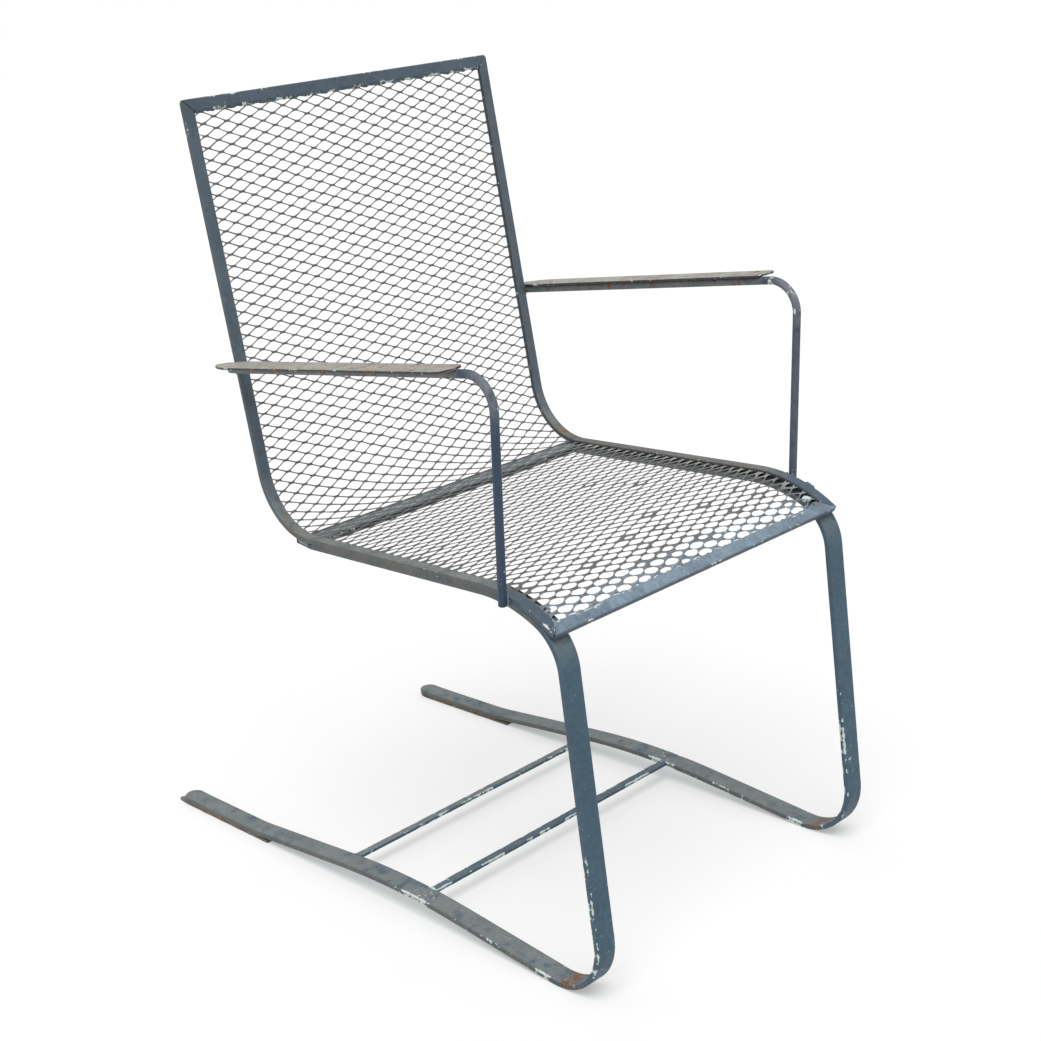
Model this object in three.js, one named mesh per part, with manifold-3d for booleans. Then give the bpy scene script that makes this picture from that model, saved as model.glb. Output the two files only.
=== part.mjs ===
import * as THREE from "three";
import { mergeVertices } from "three/addons/utils/BufferGeometryUtils.js";
import Module from "manifold-3d";

// A sprung lawn chair of flat steel bar and expanded metal.
// Lengths are in millimetres, +Z is up, the chair faces -Y, and left is the side at -X, as seen from in front.

const degree = Math.PI / 180;

// Bar stock
const barWidth = 13;
const barThickness = 6;
const leafWidth = 25;
const leafThickness = 6;
const lowerLeafThickness = 3.5;
const armRodDiameter = 9;
const stretcherWidth = 11;
const stretcherThickness = 4;
const armrestThickness = 2.5;
const edgeChamfer = 0.6;
const cornerRadius = 4.5;

// Gap kept between pieces that are welded or lie on each other
const touchGap = 0.3;

// Seat and back frame, measured along its upper face from the front edge to the top of the back
const frameWidth = 440;
const frontEdgeHeight = 403.6;
const frontSlope = 33 * degree;
const waterfallRadius = 172;
const seatLength = 283.5;
const rearBendRadius = 71;
const backLean = 4.9 * degree;
const backLength = 413;

// Leaf spring, one each side: an arm under the seat, a leg and a runner
const kneeSetback = 28.5;
const kneeRadius = 58;
const legLean = 1.3 * degree;
const footRadius = 68.5;
const runnerRise = 5.9 * degree;
const runnerRiseLength = 153;
const crestRadius = 1145;
const runnerFall = 4.5 * degree;
const settleRadius = 375;
const tailLength = 110;
const tailLift = 2.2 * degree;
const tailLiftRadius = 600;
const tailTipLength = 18;

// Lower leaf, a short strip under the tail of each runner
const lowerLeafLead = 45;
const lowerLeafOverhang = 10;
const lowerLeafWidth = 24;
const lowerLeafPoint = 30;
const lowerLeafTipWidth = 4;

// Cross pieces
const crossBarWidth = 25;
const crossBarInset = 2;
const crossBarPastSeat = 10;
const frontStretcherPlace = 218;
const rearStretcherPlace = 359;

// Arms
const armFootPlace = 65;
const armFootHeight = 423;
const armPostLean = 6.3 * degree;
const armPostLength = 195;
const armBendRadius = 32;
const armFallToRear = 4.1 * degree;
const armPastStile = 2;
const armrestWidth = 34;
const armrestOutset = 8;
const armrestLead = 9;
const armrestPastStile = 14;
const armrestCornerRadius = 11;
const armrestPointLength = 50;
const armrestTipWidth = 5;
const stileClearance = 0.4;
const notchOverrun = 40;

// Expanded metal sheet, a flat net that follows the frame
const sheetThickness = 2;
const sheetSink = 1.4;
const strandWidth = 4.2;
const openingsAcross = 5;
const openingsAlong = 26;
const knotShare = 0.16;

// Faceting
const arcStep = 7 * degree;
const gentleArcStep = 2 * degree;
const rodSides = 12;
const tipSteps = 6;
const cornerSteps = 4;

const frameHalf = frameWidth / 2;
const innerHalf = frameHalf - barWidth;
const armRodRadius = armRodDiameter / 2;
const armRodX = frameHalf + touchGap + armRodRadius;

const wasm = await Module();
wasm.setup();

// Path in the side plane, y to the rear and z up, made of straight and bent lengths.
// A positive bend turns left, which is upwards on the way to the rear.
class SidePath {
  constructor(y, z, heading) {
    this.segments = [];
    this.end = { y, z, heading };
    this.length = 0;
  }

  extend(length, curvature) {
    const segment = { from: this.length, start: this.end, length, curvature };
    this.segments.push(segment);
    this.end = walk(segment, length);
    this.length += length;
    return this;
  }

  straight(length) {
    return this.extend(length, 0);
  }

  bend(radius, turn) {
    return this.extend(radius * Math.abs(turn), Math.sign(turn) / radius);
  }

  at(place) {
    const found = this.segments.findLast((segment) => place >= segment.from);
    const segment = found ?? this.segments[0];
    return walk(segment, place - segment.from);
  }

  // Places of the cross-sections between two places, closer together where the path bends
  stops(from, to) {
    const places = [from, to];
    for (const segment of this.segments) {
      const turn = Math.abs(segment.curvature) * segment.length;
      const step = turn > arcStep ? arcStep : gentleArcStep;
      const parts = Math.max(1, Math.ceil(turn / step));
      for (let part = 0; part <= parts; part += 1) {
        places.push(segment.from + (segment.length * part) / parts);
      }
    }
    const shortest = edgeChamfer;
    const inside = places.filter((place) => place >= from && place <= to).sort((a, b) => a - b);
    return inside.filter((place, i) => i === 0 || place - inside[i - 1] > shortest || place === to);
  }
}

// Point, heading and left-hand normal at a distance along one length of a path
function walk(segment, distance) {
  const { start, curvature } = segment;
  const heading = start.heading + curvature * distance;
  let y = start.y + Math.cos(start.heading) * distance;
  let z = start.z + Math.sin(start.heading) * distance;
  if (curvature !== 0) {
    y = start.y + (Math.sin(heading) - Math.sin(start.heading)) / curvature;
    z = start.z - (Math.cos(heading) - Math.cos(start.heading)) / curvature;
  }
  return { y, z, heading, ny: -Math.sin(heading), nz: Math.cos(heading) };
}

// Ring of a flat bar with chamfered edges: x from low to high, and low to high along the path's normal
function barRing(station, xLow, xHigh, nLow, nHigh) {
  const cut = Math.min(edgeChamfer, (xHigh - xLow) / 3, (nHigh - nLow) / 3);
  const outline = [
    [xLow + cut, nLow],
    [xHigh - cut, nLow],
    [xHigh, nLow + cut],
    [xHigh, nHigh - cut],
    [xHigh - cut, nHigh],
    [xLow + cut, nHigh],
    [xLow, nHigh - cut],
    [xLow, nLow + cut],
  ];
  return outline.map(([x, n]) => new THREE.Vector3(x, station.y + station.ny * n, station.z + station.nz * n));
}

// Ring of a round rod
function rodRing(station, x, radius) {
  const ring = [];
  for (let side = 0; side < rodSides; side += 1) {
    const angle = (2 * Math.PI * (side + 1 / 2)) / rodSides;
    const n = radius * Math.cos(angle);
    const dx = radius * Math.sin(angle);
    ring.push(new THREE.Vector3(x + dx, station.y + station.ny * n, station.z + station.nz * n));
  }
  return ring;
}

// Closed body through a row of rings with the same number of points
function loft(rings) {
  const count = rings[0].length;
  const last = (rings.length - 1) * count;
  const index = [];
  for (let ring = 0; ring < rings.length - 1; ring += 1) {
    for (let i = 0; i < count; i += 1) {
      const a = ring * count + i;
      const b = ring * count + ((i + 1) % count);
      index.push(a, b, b + count, a, b + count, a + count);
    }
  }
  for (let i = 1; i < count - 1; i += 1) {
    index.push(0, i + 1, i);
    index.push(last, last + i, last + i + 1);
  }
  return body(rings.flat(), index);
}

// Indexed geometry with its faces turned outwards
function body(points, index) {
  const geometry = new THREE.BufferGeometry().setFromPoints(points);
  let volume = 0;
  for (let i = 0; i < index.length; i += 3) {
    const [a, b, c] = [points[index[i]], points[index[i + 1]], points[index[i + 2]]];
    volume += a.dot(new THREE.Vector3().crossVectors(b, c));
  }
  geometry.setIndex(volume < 0 ? index.toReversed() : index);
  return geometry;
}

// Plate with chamfered edges, its outline in x and y and its lower face at z of 0
function plate(shape, thickness) {
  const geometry = new THREE.ExtrudeGeometry(shape, {
    depth: thickness - 2 * edgeChamfer,
    bevelEnabled: true,
    bevelThickness: edgeChamfer,
    bevelSize: edgeChamfer,
    bevelOffset: -edgeChamfer,
    bevelSegments: 1,
    curveSegments: tipSteps,
  });
  return geometry.translate(0, 0, edgeChamfer);
}

// Matrix that lays a plate on a path: its x across the chair, its y along the path, its z along the normal
function lay(station, offset) {
  const along = new THREE.Vector3(0, Math.cos(station.heading), Math.sin(station.heading));
  const normal = new THREE.Vector3(0, station.ny, station.nz);
  const matrix = new THREE.Matrix4().makeBasis(new THREE.Vector3(1, 0, 0), along, normal);
  return matrix.setPosition(0, station.y + station.ny * offset, station.z + station.nz * offset);
}

function toManifold(geometry) {
  const bare = geometry.clone();
  bare.deleteAttribute("normal");
  bare.deleteAttribute("uv");
  const merged = mergeVertices(bare);
  const vertProperties = new Float32Array(merged.attributes.position.array);
  const triVerts = new Uint32Array(merged.index.array);
  return new wasm.Manifold(new wasm.Mesh({ numProp: 3, vertProperties, triVerts }));
}

function fromManifold(solid) {
  const mesh = solid.getMesh();
  const geometry = new THREE.BufferGeometry();
  geometry.setAttribute("position", new THREE.BufferAttribute(mesh.vertProperties, 3));
  geometry.setIndex(new THREE.BufferAttribute(mesh.triVerts, 1));
  return geometry;
}

// Paths

const framePath = new SidePath(0, frontEdgeHeight, frontSlope)
  .straight(barWidth)
  .bend(waterfallRadius, -frontSlope)
  .straight(seatLength)
  .bend(rearBendRadius, Math.PI / 2 - backLean)
  .straight(backLength);

const seatStart = framePath.segments[2].from;
const seatEnd = framePath.segments[3].from;
const leafTop = -(barThickness + touchGap);

// Outer face of the leaf spring, from the rear end of its arm to the tail of its runner.
// The arm lies under the frame, leaves it at the knee and goes on round the foot, always bending the same way.
// The leg is as long as it must be for the foot to touch the floor.
function makeLeafPath() {
  const armEnd = seatEnd + crossBarPastSeat - crossBarWidth / 2 - touchGap;
  const start = framePath.at(armEnd);
  const path = new SidePath(start.y + start.ny * leafTop, start.z + start.nz * leafTop, start.heading + Math.PI);
  path.straight(armEnd - seatStart);
  path.bend(waterfallRadius + leafTop, (seatStart - kneeSetback) / waterfallRadius);
  const down = (3 / 2) * Math.PI - legLean;
  path.bend(kneeRadius, down - path.end.heading);
  const footStart = footRadius * (1 - Math.cos(down));
  path.straight((path.end.z - footStart) / -Math.sin(down));
  path.bend(footRadius, 2 * Math.PI - down);
  path.bend(footRadius, runnerRise);
  path.footEnd = path.length;
  path.straight(runnerRiseLength);
  path.bend(crestRadius, -(runnerRise + runnerFall));
  const settleDrop = settleRadius * (1 - Math.cos(runnerFall));
  const toLowerLeaf = path.end.z - lowerLeafThickness - touchGap;
  path.straight((toLowerLeaf - settleDrop) / Math.sin(runnerFall));
  path.bend(settleRadius, runnerFall);
  path.settled = path.length;
  path.straight(tailLength);
  path.bend(tailLiftRadius, tailLift);
  return path.straight(tailTipLength);
}

const leafPath = makeLeafPath();

const armPath = new SidePath(armFootPlace, armFootHeight, Math.PI / 2 + armPostLean)
  .straight(armPostLength)
  .bend(armBendRadius, -(Math.PI / 2 + armPostLean + armFallToRear));

// The stile is the straight back length of a side rail
const stilePath = framePath.segments[4];

// Distance from the arm's bend to the rear face of the stile, along the arm
function armReach() {
  const start = armPath.end;
  const lean = stilePath.start.heading;
  const rearFace = walk(stilePath, 0);
  const y = rearFace.y - rearFace.ny * barThickness;
  const z = rearFace.z - rearFace.nz * barThickness;
  const across = (y - start.y) * Math.sin(lean) - (z - start.z) * Math.cos(lean);
  return across / Math.sin(lean - start.heading);
}

const reachToStile = armReach();
armPath.straight(reachToStile + armPastStile);

// How far the frame's outer edge draws in near a corner, at a distance from the end
function cornerDraw(distance) {
  if (distance >= cornerRadius) return 0;
  const rise = cornerRadius - distance;
  return cornerRadius - Math.sqrt(cornerRadius ** 2 - rise ** 2);
}

// Distances from the end at which a mitred end takes its cross-sections, from the tip of the mitre
const mitreTip = cornerRadius * (1 - Math.SQRT1_2) + touchGap + edgeChamfer;
const mitreStops = [];
for (let step = 0; step < cornerSteps; step += 1) {
  mitreStops.push(mitreTip + ((cornerRadius - mitreTip) * step) / (cornerSteps - 1));
}
mitreStops.push(barWidth);

// Side rail: one flat bar bent into seat and back, mitred at both ends
function sideRail(side) {
  const total = framePath.length;
  const middle = framePath.stops(barWidth, total - barWidth).slice(1, -1);
  const places = [...mitreStops, ...middle, ...mitreStops.toReversed().map((stop) => total - stop)];
  const rings = places.map((place) => {
    const fromEnd = Math.min(place, total - place);
    const outer = frameHalf - cornerDraw(fromEnd);
    const inner = Math.max(innerHalf, frameHalf - fromEnd + touchGap * Math.SQRT2);
    const [low, high] = side > 0 ? [inner, outer] : [-outer, -inner];
    return barRing(framePath.at(place), low, high, -barThickness, 0);
  });
  return loft(rings);
}

// Mitred cross rail at the front or the top, its outer edge at the end of the frame
function endRail(station, alongSign) {
  const half = frameHalf;
  const shape = new THREE.Shape();
  const arcCentre = cornerRadius;
  shape.moveTo(-(half - barWidth), alongSign * barWidth);
  shape.lineTo(half - barWidth, alongSign * barWidth);
  for (const mirror of [1, -1]) {
    for (let step = 0; step <= cornerSteps; step += 1) {
      const share = mirror > 0 ? step / cornerSteps : 1 - step / cornerSteps;
      const angle = Math.PI / 4 + (Math.PI / 4) * share;
      const x = half - arcCentre + cornerRadius * Math.cos(angle) - touchGap * (1 - share);
      shape.lineTo(mirror * x, alongSign * (arcCentre - cornerRadius * Math.sin(angle)));
    }
  }
  shape.closePath();
  return plate(shape, barThickness).applyMatrix4(lay(station, -barThickness));
}

// Flat bar straight across the chair, its long edges half a width to either side of y of 0
function crossStrip(half, width, thickness) {
  const edge = width / 2;
  const shape = new THREE.Shape([
    new THREE.Vector2(-half, -edge),
    new THREE.Vector2(half, -edge),
    new THREE.Vector2(half, edge),
    new THREE.Vector2(-half, edge),
  ]);
  return plate(shape, thickness);
}

// Flat bar across the underside where the seat meets the back, behind the ends of the spring arms
function crossBar() {
  const strip = crossStrip(frameHalf - crossBarInset, crossBarWidth, leafThickness);
  const station = framePath.at(seatEnd + crossBarPastSeat);
  return strip.applyMatrix4(lay(station, leafTop - leafThickness));
}

// Half width of a strip that narrows to a rounded end
function roundedHalf(half, toEnd) {
  if (toEnd >= half) return half;
  return Math.sqrt(half ** 2 - (half - toEnd) ** 2);
}

// Leaf spring: arm under the seat, knee, leg, foot and runner in one bent strip with a rounded tail
function leafSpring(side) {
  const half = leafWidth / 2;
  const middle = side * (frameHalf - half);
  const total = leafPath.length;
  const places = leafPath.stops(0, total - half);
  for (let step = 1; step < tipSteps; step += 1) {
    places.push(total - half * (1 - Math.sin((step / tipSteps) * (Math.PI / 2))));
  }
  const rings = places.map((place) => {
    const reach = roundedHalf(half, total - place);
    return barRing(leafPath.at(place), middle - reach, middle + reach, 0, leafThickness);
  });
  return loft(rings);
}

// Lower leaf: flat on the floor under the runner's tail, with a pointed end behind it
function lowerLeaf(side) {
  const start = leafPath.at(leafPath.settled).y - lowerLeafLead;
  const finish = leafPath.end.y + lowerLeafOverhang;
  const half = lowerLeafWidth / 2;
  const tip = lowerLeafTipWidth / 2;
  const shape = new THREE.Shape();
  shape.moveTo(-half, start);
  shape.lineTo(half, start);
  shape.lineTo(half, finish - lowerLeafPoint);
  shape.quadraticCurveTo(half, finish - lowerLeafPoint / 3, tip, finish);
  shape.lineTo(-tip, finish);
  shape.quadraticCurveTo(-half, finish - lowerLeafPoint / 3, -half, finish - lowerLeafPoint);
  shape.closePath();
  return plate(shape, lowerLeafThickness).translate(side * (frameHalf - leafWidth / 2), 0, 0);
}

// Flat bar between the inner edges of the two runners, at the middle of their thickness
function stretcher(place) {
  const strip = crossStrip(frameHalf - leafWidth - touchGap, stretcherWidth, stretcherThickness);
  const station = leafPath.at(leafPath.footEnd + place);
  return strip.applyMatrix4(lay(station, (leafThickness - stretcherThickness) / 2));
}

// Arm rod: foot beside the seat rail, post, bend and rail back to the outside of the stile
function armRod(side) {
  const places = armPath.stops(0, armPath.length);
  return loft(places.map((place) => rodRing(armPath.at(place), side * armRodX, armRodRadius)));
}

// Armrest outline, its y along the arm: square at the front with rounded corners, pointed at the rear
function armrestShape(length) {
  const half = armrestWidth / 2;
  const tip = armrestTipWidth / 2;
  const corner = armrestCornerRadius;
  const point = armrestPointLength;
  const bow = point / 3;
  const shape = new THREE.Shape();
  shape.moveTo(corner - half, 0);
  shape.lineTo(half - corner, 0);
  shape.quadraticCurveTo(half, 0, half, corner);
  shape.lineTo(half, length - point);
  shape.quadraticCurveTo(half, length - bow, tip, length);
  shape.lineTo(-tip, length);
  shape.quadraticCurveTo(-half, length - bow, -half, length - point);
  shape.lineTo(-half, corner);
  shape.quadraticCurveTo(-half, 0, corner - half, 0);
  return shape;
}

// Armrest: flat bar on the arm rod, set towards the outside and cut out round the stile
function armrest(side) {
  const bendEnd = armPath.segments[2].from;
  const length = reachToStile - armrestLead + armrestPastStile;
  const station = armPath.at(bendEnd + armrestLead);
  const matrix = lay(station, armRodRadius + touchGap);
  const middle = side * (armRodX + armrestOutset);
  const blank = plate(armrestShape(length), armrestThickness).applyMatrix4(matrix).translate(middle, 0, 0);
  return fromManifold(toManifold(blank).subtract(toManifold(stileNotch(side))));
}

// Space that the stile and its clearance take out of the armrest, open to the inside and to the rear
function stileNotch(side) {
  const width = barWidth + stileClearance + notchOverrun;
  const depth = barThickness + stileClearance + notchOverrun;
  const box = new THREE.BoxGeometry(width, depth, stilePath.length);
  const middle = walk(stilePath, stilePath.length / 2);
  const push = stileClearance - depth / 2;
  const lean = new THREE.Matrix4().makeRotationX(stilePath.start.heading - Math.PI / 2);
  lean.setPosition(0, middle.y + middle.ny * push, middle.z + middle.nz * push);
  const x = side * (frameHalf + stileClearance - width / 2);
  return box.applyMatrix4(lean).translate(x, 0, 0);
}

// Expanded metal sheet: a closed net whose strands cross between knots in staggered rows.
// Grid nodes with an even sum are knots and those with an odd sum are diamond openings.
function expandedSheet() {
  const columns = 2 * openingsAcross;
  const rows = 2 * openingsAlong;
  const edge = innerHalf - touchGap;
  const from = barWidth + touchGap;
  const to = framePath.length - barWidth - touchGap;
  const halfLong = edge / openingsAcross;
  const halfShort = (to - from) / rows;
  const reachShort = halfShort - strandWidth / 2;
  const reachLong = halfLong * (1 - knotShare);
  const points = [];
  const numbers = new Map();

  function corner(i, j, di, dj) {
    const x = -edge + i * halfLong + di * reachLong;
    const place = from + j * halfShort + dj * reachShort;
    const key = `${i},${j},${di},${dj}`;
    if (!numbers.has(key)) {
      numbers.set(key, points.length);
      points.push([x, place]);
    }
    return numbers.get(key);
  }

  // Corner of the opening at a node, or nothing where it falls outside the sheet
  function openingCorner(i, j, di, dj) {
    const outside = i < 0 || i > columns || j < 0 || j > rows;
    const past = (i === 0 && di < 0) || (i === columns && di > 0) || (j === 0 && dj < 0) || (j === rows && dj > 0);
    return outside || past ? null : corner(i, j, di, dj);
  }

  const faces = [];
  function face(...corners) {
    const kept = corners.filter((number) => number !== null);
    for (let i = 1; i < kept.length - 1; i += 1) faces.push([kept[0], kept[i], kept[i + 1]]);
  }

  for (let i = 0; i <= columns; i += 1) {
    for (let j = 0; j <= rows; j += 1) {
      if ((i + j) % 2 === 1) continue;
      const atCorner = (i === 0 || i === columns) && (j === 0 || j === rows);
      const left = openingCorner(i - 1, j, 1, 0);
      const above = openingCorner(i, j + 1, 0, -1);
      const right = openingCorner(i + 1, j, -1, 0);
      const below = openingCorner(i, j - 1, 0, 1);
      const ring = [right, above, left, below];
      if (atCorner) ring[ring.indexOf(null)] = corner(i, j, 0, 0);
      face(...ring);
      if (i < columns && j < rows) {
        const near = [openingCorner(i, j + 1, 0, -1), openingCorner(i + 1, j, -1, 0)];
        face(...near, openingCorner(i + 1, j, 0, 1), openingCorner(i, j + 1, 1, 0));
      }
      if (i < columns && j > 0) {
        const lower = [openingCorner(i, j - 1, 0, 1), openingCorner(i, j - 1, 1, 0)];
        face(...lower, openingCorner(i + 1, j, 0, -1), openingCorner(i + 1, j, -1, 0));
      }
    }
  }
  return thicken(points, faces);
}

// Gives a flat net its thickness on the frame path: both faces, and a wall along every open edge
function thicken(points, faces) {
  const count = points.length;
  const solid = [];
  for (const depth of [sheetSink + sheetThickness, sheetSink]) {
    for (const [x, place] of points) {
      const station = framePath.at(place);
      solid.push(new THREE.Vector3(x, station.y - station.ny * depth, station.z - station.nz * depth));
    }
  }
  const index = [];
  const edges = new Set();
  for (const [a, b, c] of faces) {
    index.push(a, c, b, a + count, b + count, c + count);
    for (const [p, q] of [[a, b], [b, c], [c, a]]) edges.add(`${p},${q}`);
  }
  for (const key of edges) {
    const [p, q] = key.split(",").map(Number);
    if (edges.has(`${q},${p}`)) continue;
    index.push(p, q, q + count, p, q + count, p + count);
  }
  return body(solid, index);
}

// Assembly

const chair = new THREE.Group();
chair.name = "spring_lawn_chair";

function add(name, geometry, color, roughness = 0.55, metalness = 0.25) {
  const material = new THREE.MeshStandardMaterial({ color, roughness, metalness });
  const mesh = new THREE.Mesh(geometry, material);
  mesh.name = name;
  chair.add(mesh);
}

const sides = [["left", -1], ["right", 1]];
for (const [label, side] of sides) {
  add(`${label}_side_rail`, sideRail(side), 0x56666e);
  add(`${label}_leaf_spring`, leafSpring(side), 0x4a6370);
  add(`${label}_lower_leaf`, lowerLeaf(side), 0x5b574d, 0.8);
  add(`${label}_arm_rod`, armRod(side), 0x3f4c58);
  add(`${label}_armrest`, armrest(side), 0x80867f);
}
add("front_rail", endRail(framePath.at(0), 1), 0x6d808c);
add("top_rail", endRail(framePath.at(framePath.length), -1), 0x56666e);
add("rear_cross_bar", crossBar(), 0x4c5a60);
add("front_stretcher", stretcher(frontStretcherPlace), 0x6f7473);
add("rear_stretcher", stretcher(rearStretcherPlace), 0x6f7473);
add("expanded_metal_sheet", expandedSheet(), 0x5f6566);

// The origin is on the floor below the middle of the chair
const centre = new THREE.Box3().setFromObject(chair).getCenter(new THREE.Vector3());
for (const mesh of chair.children) mesh.geometry.translate(0, -centre.y, 0);

export default chair;
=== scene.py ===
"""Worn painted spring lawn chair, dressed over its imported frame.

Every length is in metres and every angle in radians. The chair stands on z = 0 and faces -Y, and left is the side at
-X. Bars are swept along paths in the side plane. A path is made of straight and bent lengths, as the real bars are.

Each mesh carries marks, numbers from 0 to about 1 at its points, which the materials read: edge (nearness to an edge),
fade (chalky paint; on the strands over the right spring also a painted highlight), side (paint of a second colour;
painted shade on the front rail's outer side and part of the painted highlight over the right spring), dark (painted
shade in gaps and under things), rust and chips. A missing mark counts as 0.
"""

import math

import bmesh
import bpy
import numpy as np
from bpy.props import FloatProperty, FloatVectorProperty, IntProperty, PointerProperty
from mathutils import Matrix, Vector


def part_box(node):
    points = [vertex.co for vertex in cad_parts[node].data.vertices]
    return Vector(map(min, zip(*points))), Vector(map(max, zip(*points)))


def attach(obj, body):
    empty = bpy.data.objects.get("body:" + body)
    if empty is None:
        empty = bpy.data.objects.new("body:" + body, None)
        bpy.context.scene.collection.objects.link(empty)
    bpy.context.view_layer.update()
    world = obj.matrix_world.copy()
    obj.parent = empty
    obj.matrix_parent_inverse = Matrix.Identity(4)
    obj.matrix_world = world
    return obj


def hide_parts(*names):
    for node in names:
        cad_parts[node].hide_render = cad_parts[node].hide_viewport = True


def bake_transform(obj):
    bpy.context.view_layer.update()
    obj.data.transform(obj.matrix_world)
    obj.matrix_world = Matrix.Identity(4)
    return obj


bl_info = {
    "name": "Spring lawn chair",
    "version": (1, 0, 0),
    "blender": (4, 5, 0),
    "location": "View3D > Sidebar > Spring chair",
    "description": "Builds a worn spring lawn chair of flat bar and expanded metal over its packed frame",
    "category": "Add Mesh",
}

SIDES = (("left", -1.0), ("right", 1.0))
QUARTER = math.pi / 2
SOLID_CHAMFER = 0.0006  # of the CAD's bar edges
LEAF_ROUNDING, PLATE_ROUNDING, STRIP_ROUNDING = 0.0008, 0.0007, 0.0006
BEHIND_FRONT = (0.055, 0.06)  # where the greyed paint of the rails starts behind the front edge, and over what length
PIT_COLOUR = (0.018, 0.020, 0.024)

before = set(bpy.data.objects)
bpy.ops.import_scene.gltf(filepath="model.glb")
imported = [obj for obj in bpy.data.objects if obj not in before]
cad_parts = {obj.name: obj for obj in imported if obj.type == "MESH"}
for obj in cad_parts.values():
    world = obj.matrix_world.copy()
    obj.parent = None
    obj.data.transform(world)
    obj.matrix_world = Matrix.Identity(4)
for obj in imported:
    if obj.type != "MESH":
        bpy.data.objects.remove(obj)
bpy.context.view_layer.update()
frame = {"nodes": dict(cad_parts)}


# Properties


def length(name, description, default):
    return FloatProperty(
        name=name, description=description, default=default, unit="LENGTH", subtype="DISTANCE", precision=4
    )


def angle(name, description, degrees):
    return FloatProperty(
        name=name, description=description, default=math.radians(degrees), unit="ROTATION", subtype="ANGLE"
    )


def colour(name, description, default):
    return FloatVectorProperty(
        name=name, description=description, default=default, subtype="COLOR", size=3, min=0.0, max=1.0
    )


class ChairFrameSizes(bpy.types.PropertyGroup):
    """Seat and back frame, measured along its upper face"""

    width: length("Width", "Width over both side rails", 0.440)
    bar_width: length("Bar width", "Width of the flat bar", 0.013)
    bar_thickness: length("Bar thickness", "Thickness of the flat bar", 0.006)
    edge_radius: length("Edge radius", "Rounding of the bar edges", 0.0009)
    corner_radius: length("Corner radius", "Rounding of the frame's four outer corners", 0.0045)
    gap: length("Gap", "Gap kept between welded pieces", 0.0003)
    front_height: length("Front height", "Height of the front edge", 0.4036)
    front_slope: angle("Front slope", "Rise of the seat at its front edge", 33.0)
    waterfall_radius: length("Waterfall radius", "Bend of the seat behind its front edge", 0.172)
    seat_length: length("Seat length", "Level length of the seat", 0.2835)
    rear_radius: length("Rear radius", "Bend between seat and back", 0.071)
    back_lean: angle("Back lean", "Lean of the back from upright", 4.9)
    back_length: length("Back length", "Straight length of the back", 0.413)
    cross_width: length("Cross bar width", "Width of the rear cross bar", 0.025)
    cross_inset: length("Cross bar inset", "How far the rear cross bar ends inside the frame", 0.002)
    cross_past_seat: length("Cross bar place", "Distance of the rear cross bar behind the level seat", 0.010)


class ChairSpringSizes(bpy.types.PropertyGroup):
    """Leaf springs, the leaves under their tails and the stretchers between them"""

    width: length("Leaf width", "Width of the leaf spring", 0.025)
    thickness: length("Leaf thickness", "Thickness of the leaf spring", 0.006)
    knee_setback: length("Knee setback", "Distance of the knee in front of the level seat, along the frame", 0.0285)
    knee_radius: length("Knee radius", "Bend between arm and leg", 0.058)
    leg_lean: angle("Leg lean", "Lean of the leg from upright", 1.3)
    foot_radius: length("Foot radius", "Bend between leg and runner", 0.0685)
    rise: angle("Runner rise", "Rise of the runner behind the foot", 5.9)
    rise_length: length("Rise length", "Straight length of the rise", 0.153)
    crest_radius: length("Crest radius", "Bend at the top of the runner", 1.145)
    fall: angle("Runner fall", "Fall of the runner behind the crest", 4.5)
    settle_radius: length("Settle radius", "Bend where the runner comes down on the lower leaf", 0.375)
    tail_length: length("Tail length", "Flat length on the lower leaf", 0.110)
    tail_lift: angle("Tail lift", "Lift of the runner's tip", 2.2)
    tail_lift_radius: length("Tail lift radius", "Bend of the runner's tip", 0.600)
    tail_tip: length("Tail tip", "Straight length of the tip", 0.018)
    lower_thickness: length("Lower leaf thickness", "Thickness of the lower leaf", 0.0035)
    lower_width: length("Lower leaf width", "Width of the lower leaf", 0.024)
    lower_lead: length("Lower leaf lead", "How far the lower leaf starts ahead of the flat length", 0.045)
    lower_overhang: length("Lower leaf overhang", "How far the lower leaf ends behind the runner", 0.010)
    lower_point: length("Lower leaf point", "Length of the lower leaf's point", 0.030)
    lower_tip: length("Lower leaf tip", "Width of the lower leaf's tip", 0.004)
    stretcher_width: length("Stretcher width", "Width of the flat stretchers", 0.011)
    stretcher_thickness: length("Stretcher thickness", "Thickness of the flat stretchers", 0.004)
    front_stretcher: length("Front stretcher", "Distance of the front stretcher behind the foot", 0.218)
    rear_stretcher: length("Rear stretcher", "Distance of the rear stretcher behind the foot", 0.359)


class ChairArmSizes(bpy.types.PropertyGroup):
    """Round arm rods and flat armrests"""

    rod_diameter: length("Rod diameter", "Diameter of the arm rod", 0.009)
    foot_place: length("Foot place", "Distance of the rod's foot behind the front edge", 0.065)
    foot_height: length("Foot height", "Height of the rod's foot", 0.423)
    post_lean: angle("Post lean", "Forward lean of the post", 6.3)
    post_length: length("Post length", "Straight length of the post", 0.195)
    bend_radius: length("Bend radius", "Bend between post and arm", 0.032)
    fall: angle("Arm fall", "Fall of the arm to the rear", 4.1)
    past_stile: length("Past stile", "How far the rod passes the stile", 0.002)
    rest_width: length("Armrest width", "Width of the armrest", 0.034)
    rest_thickness: length("Armrest thickness", "Thickness of the armrest", 0.0025)
    rest_outset: length("Armrest outset", "How far the armrest's middle lies outside the rod", 0.008)
    rest_lead: length("Armrest lead", "Distance of the armrest's front end behind the bend", 0.009)
    rest_past_stile: length("Armrest past stile", "How far the armrest passes the stile", 0.014)
    rest_corner: length("Armrest corner", "Rounding of the armrest's front corners", 0.011)
    rest_point: length("Armrest point", "Length of the armrest's pointed rear end", 0.050)
    rest_tip: length("Armrest tip", "Width of the armrest's rear tip", 0.005)
    stile_clearance: length("Stile clearance", "Clearance of the armrest round the stile", 0.0004)


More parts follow.
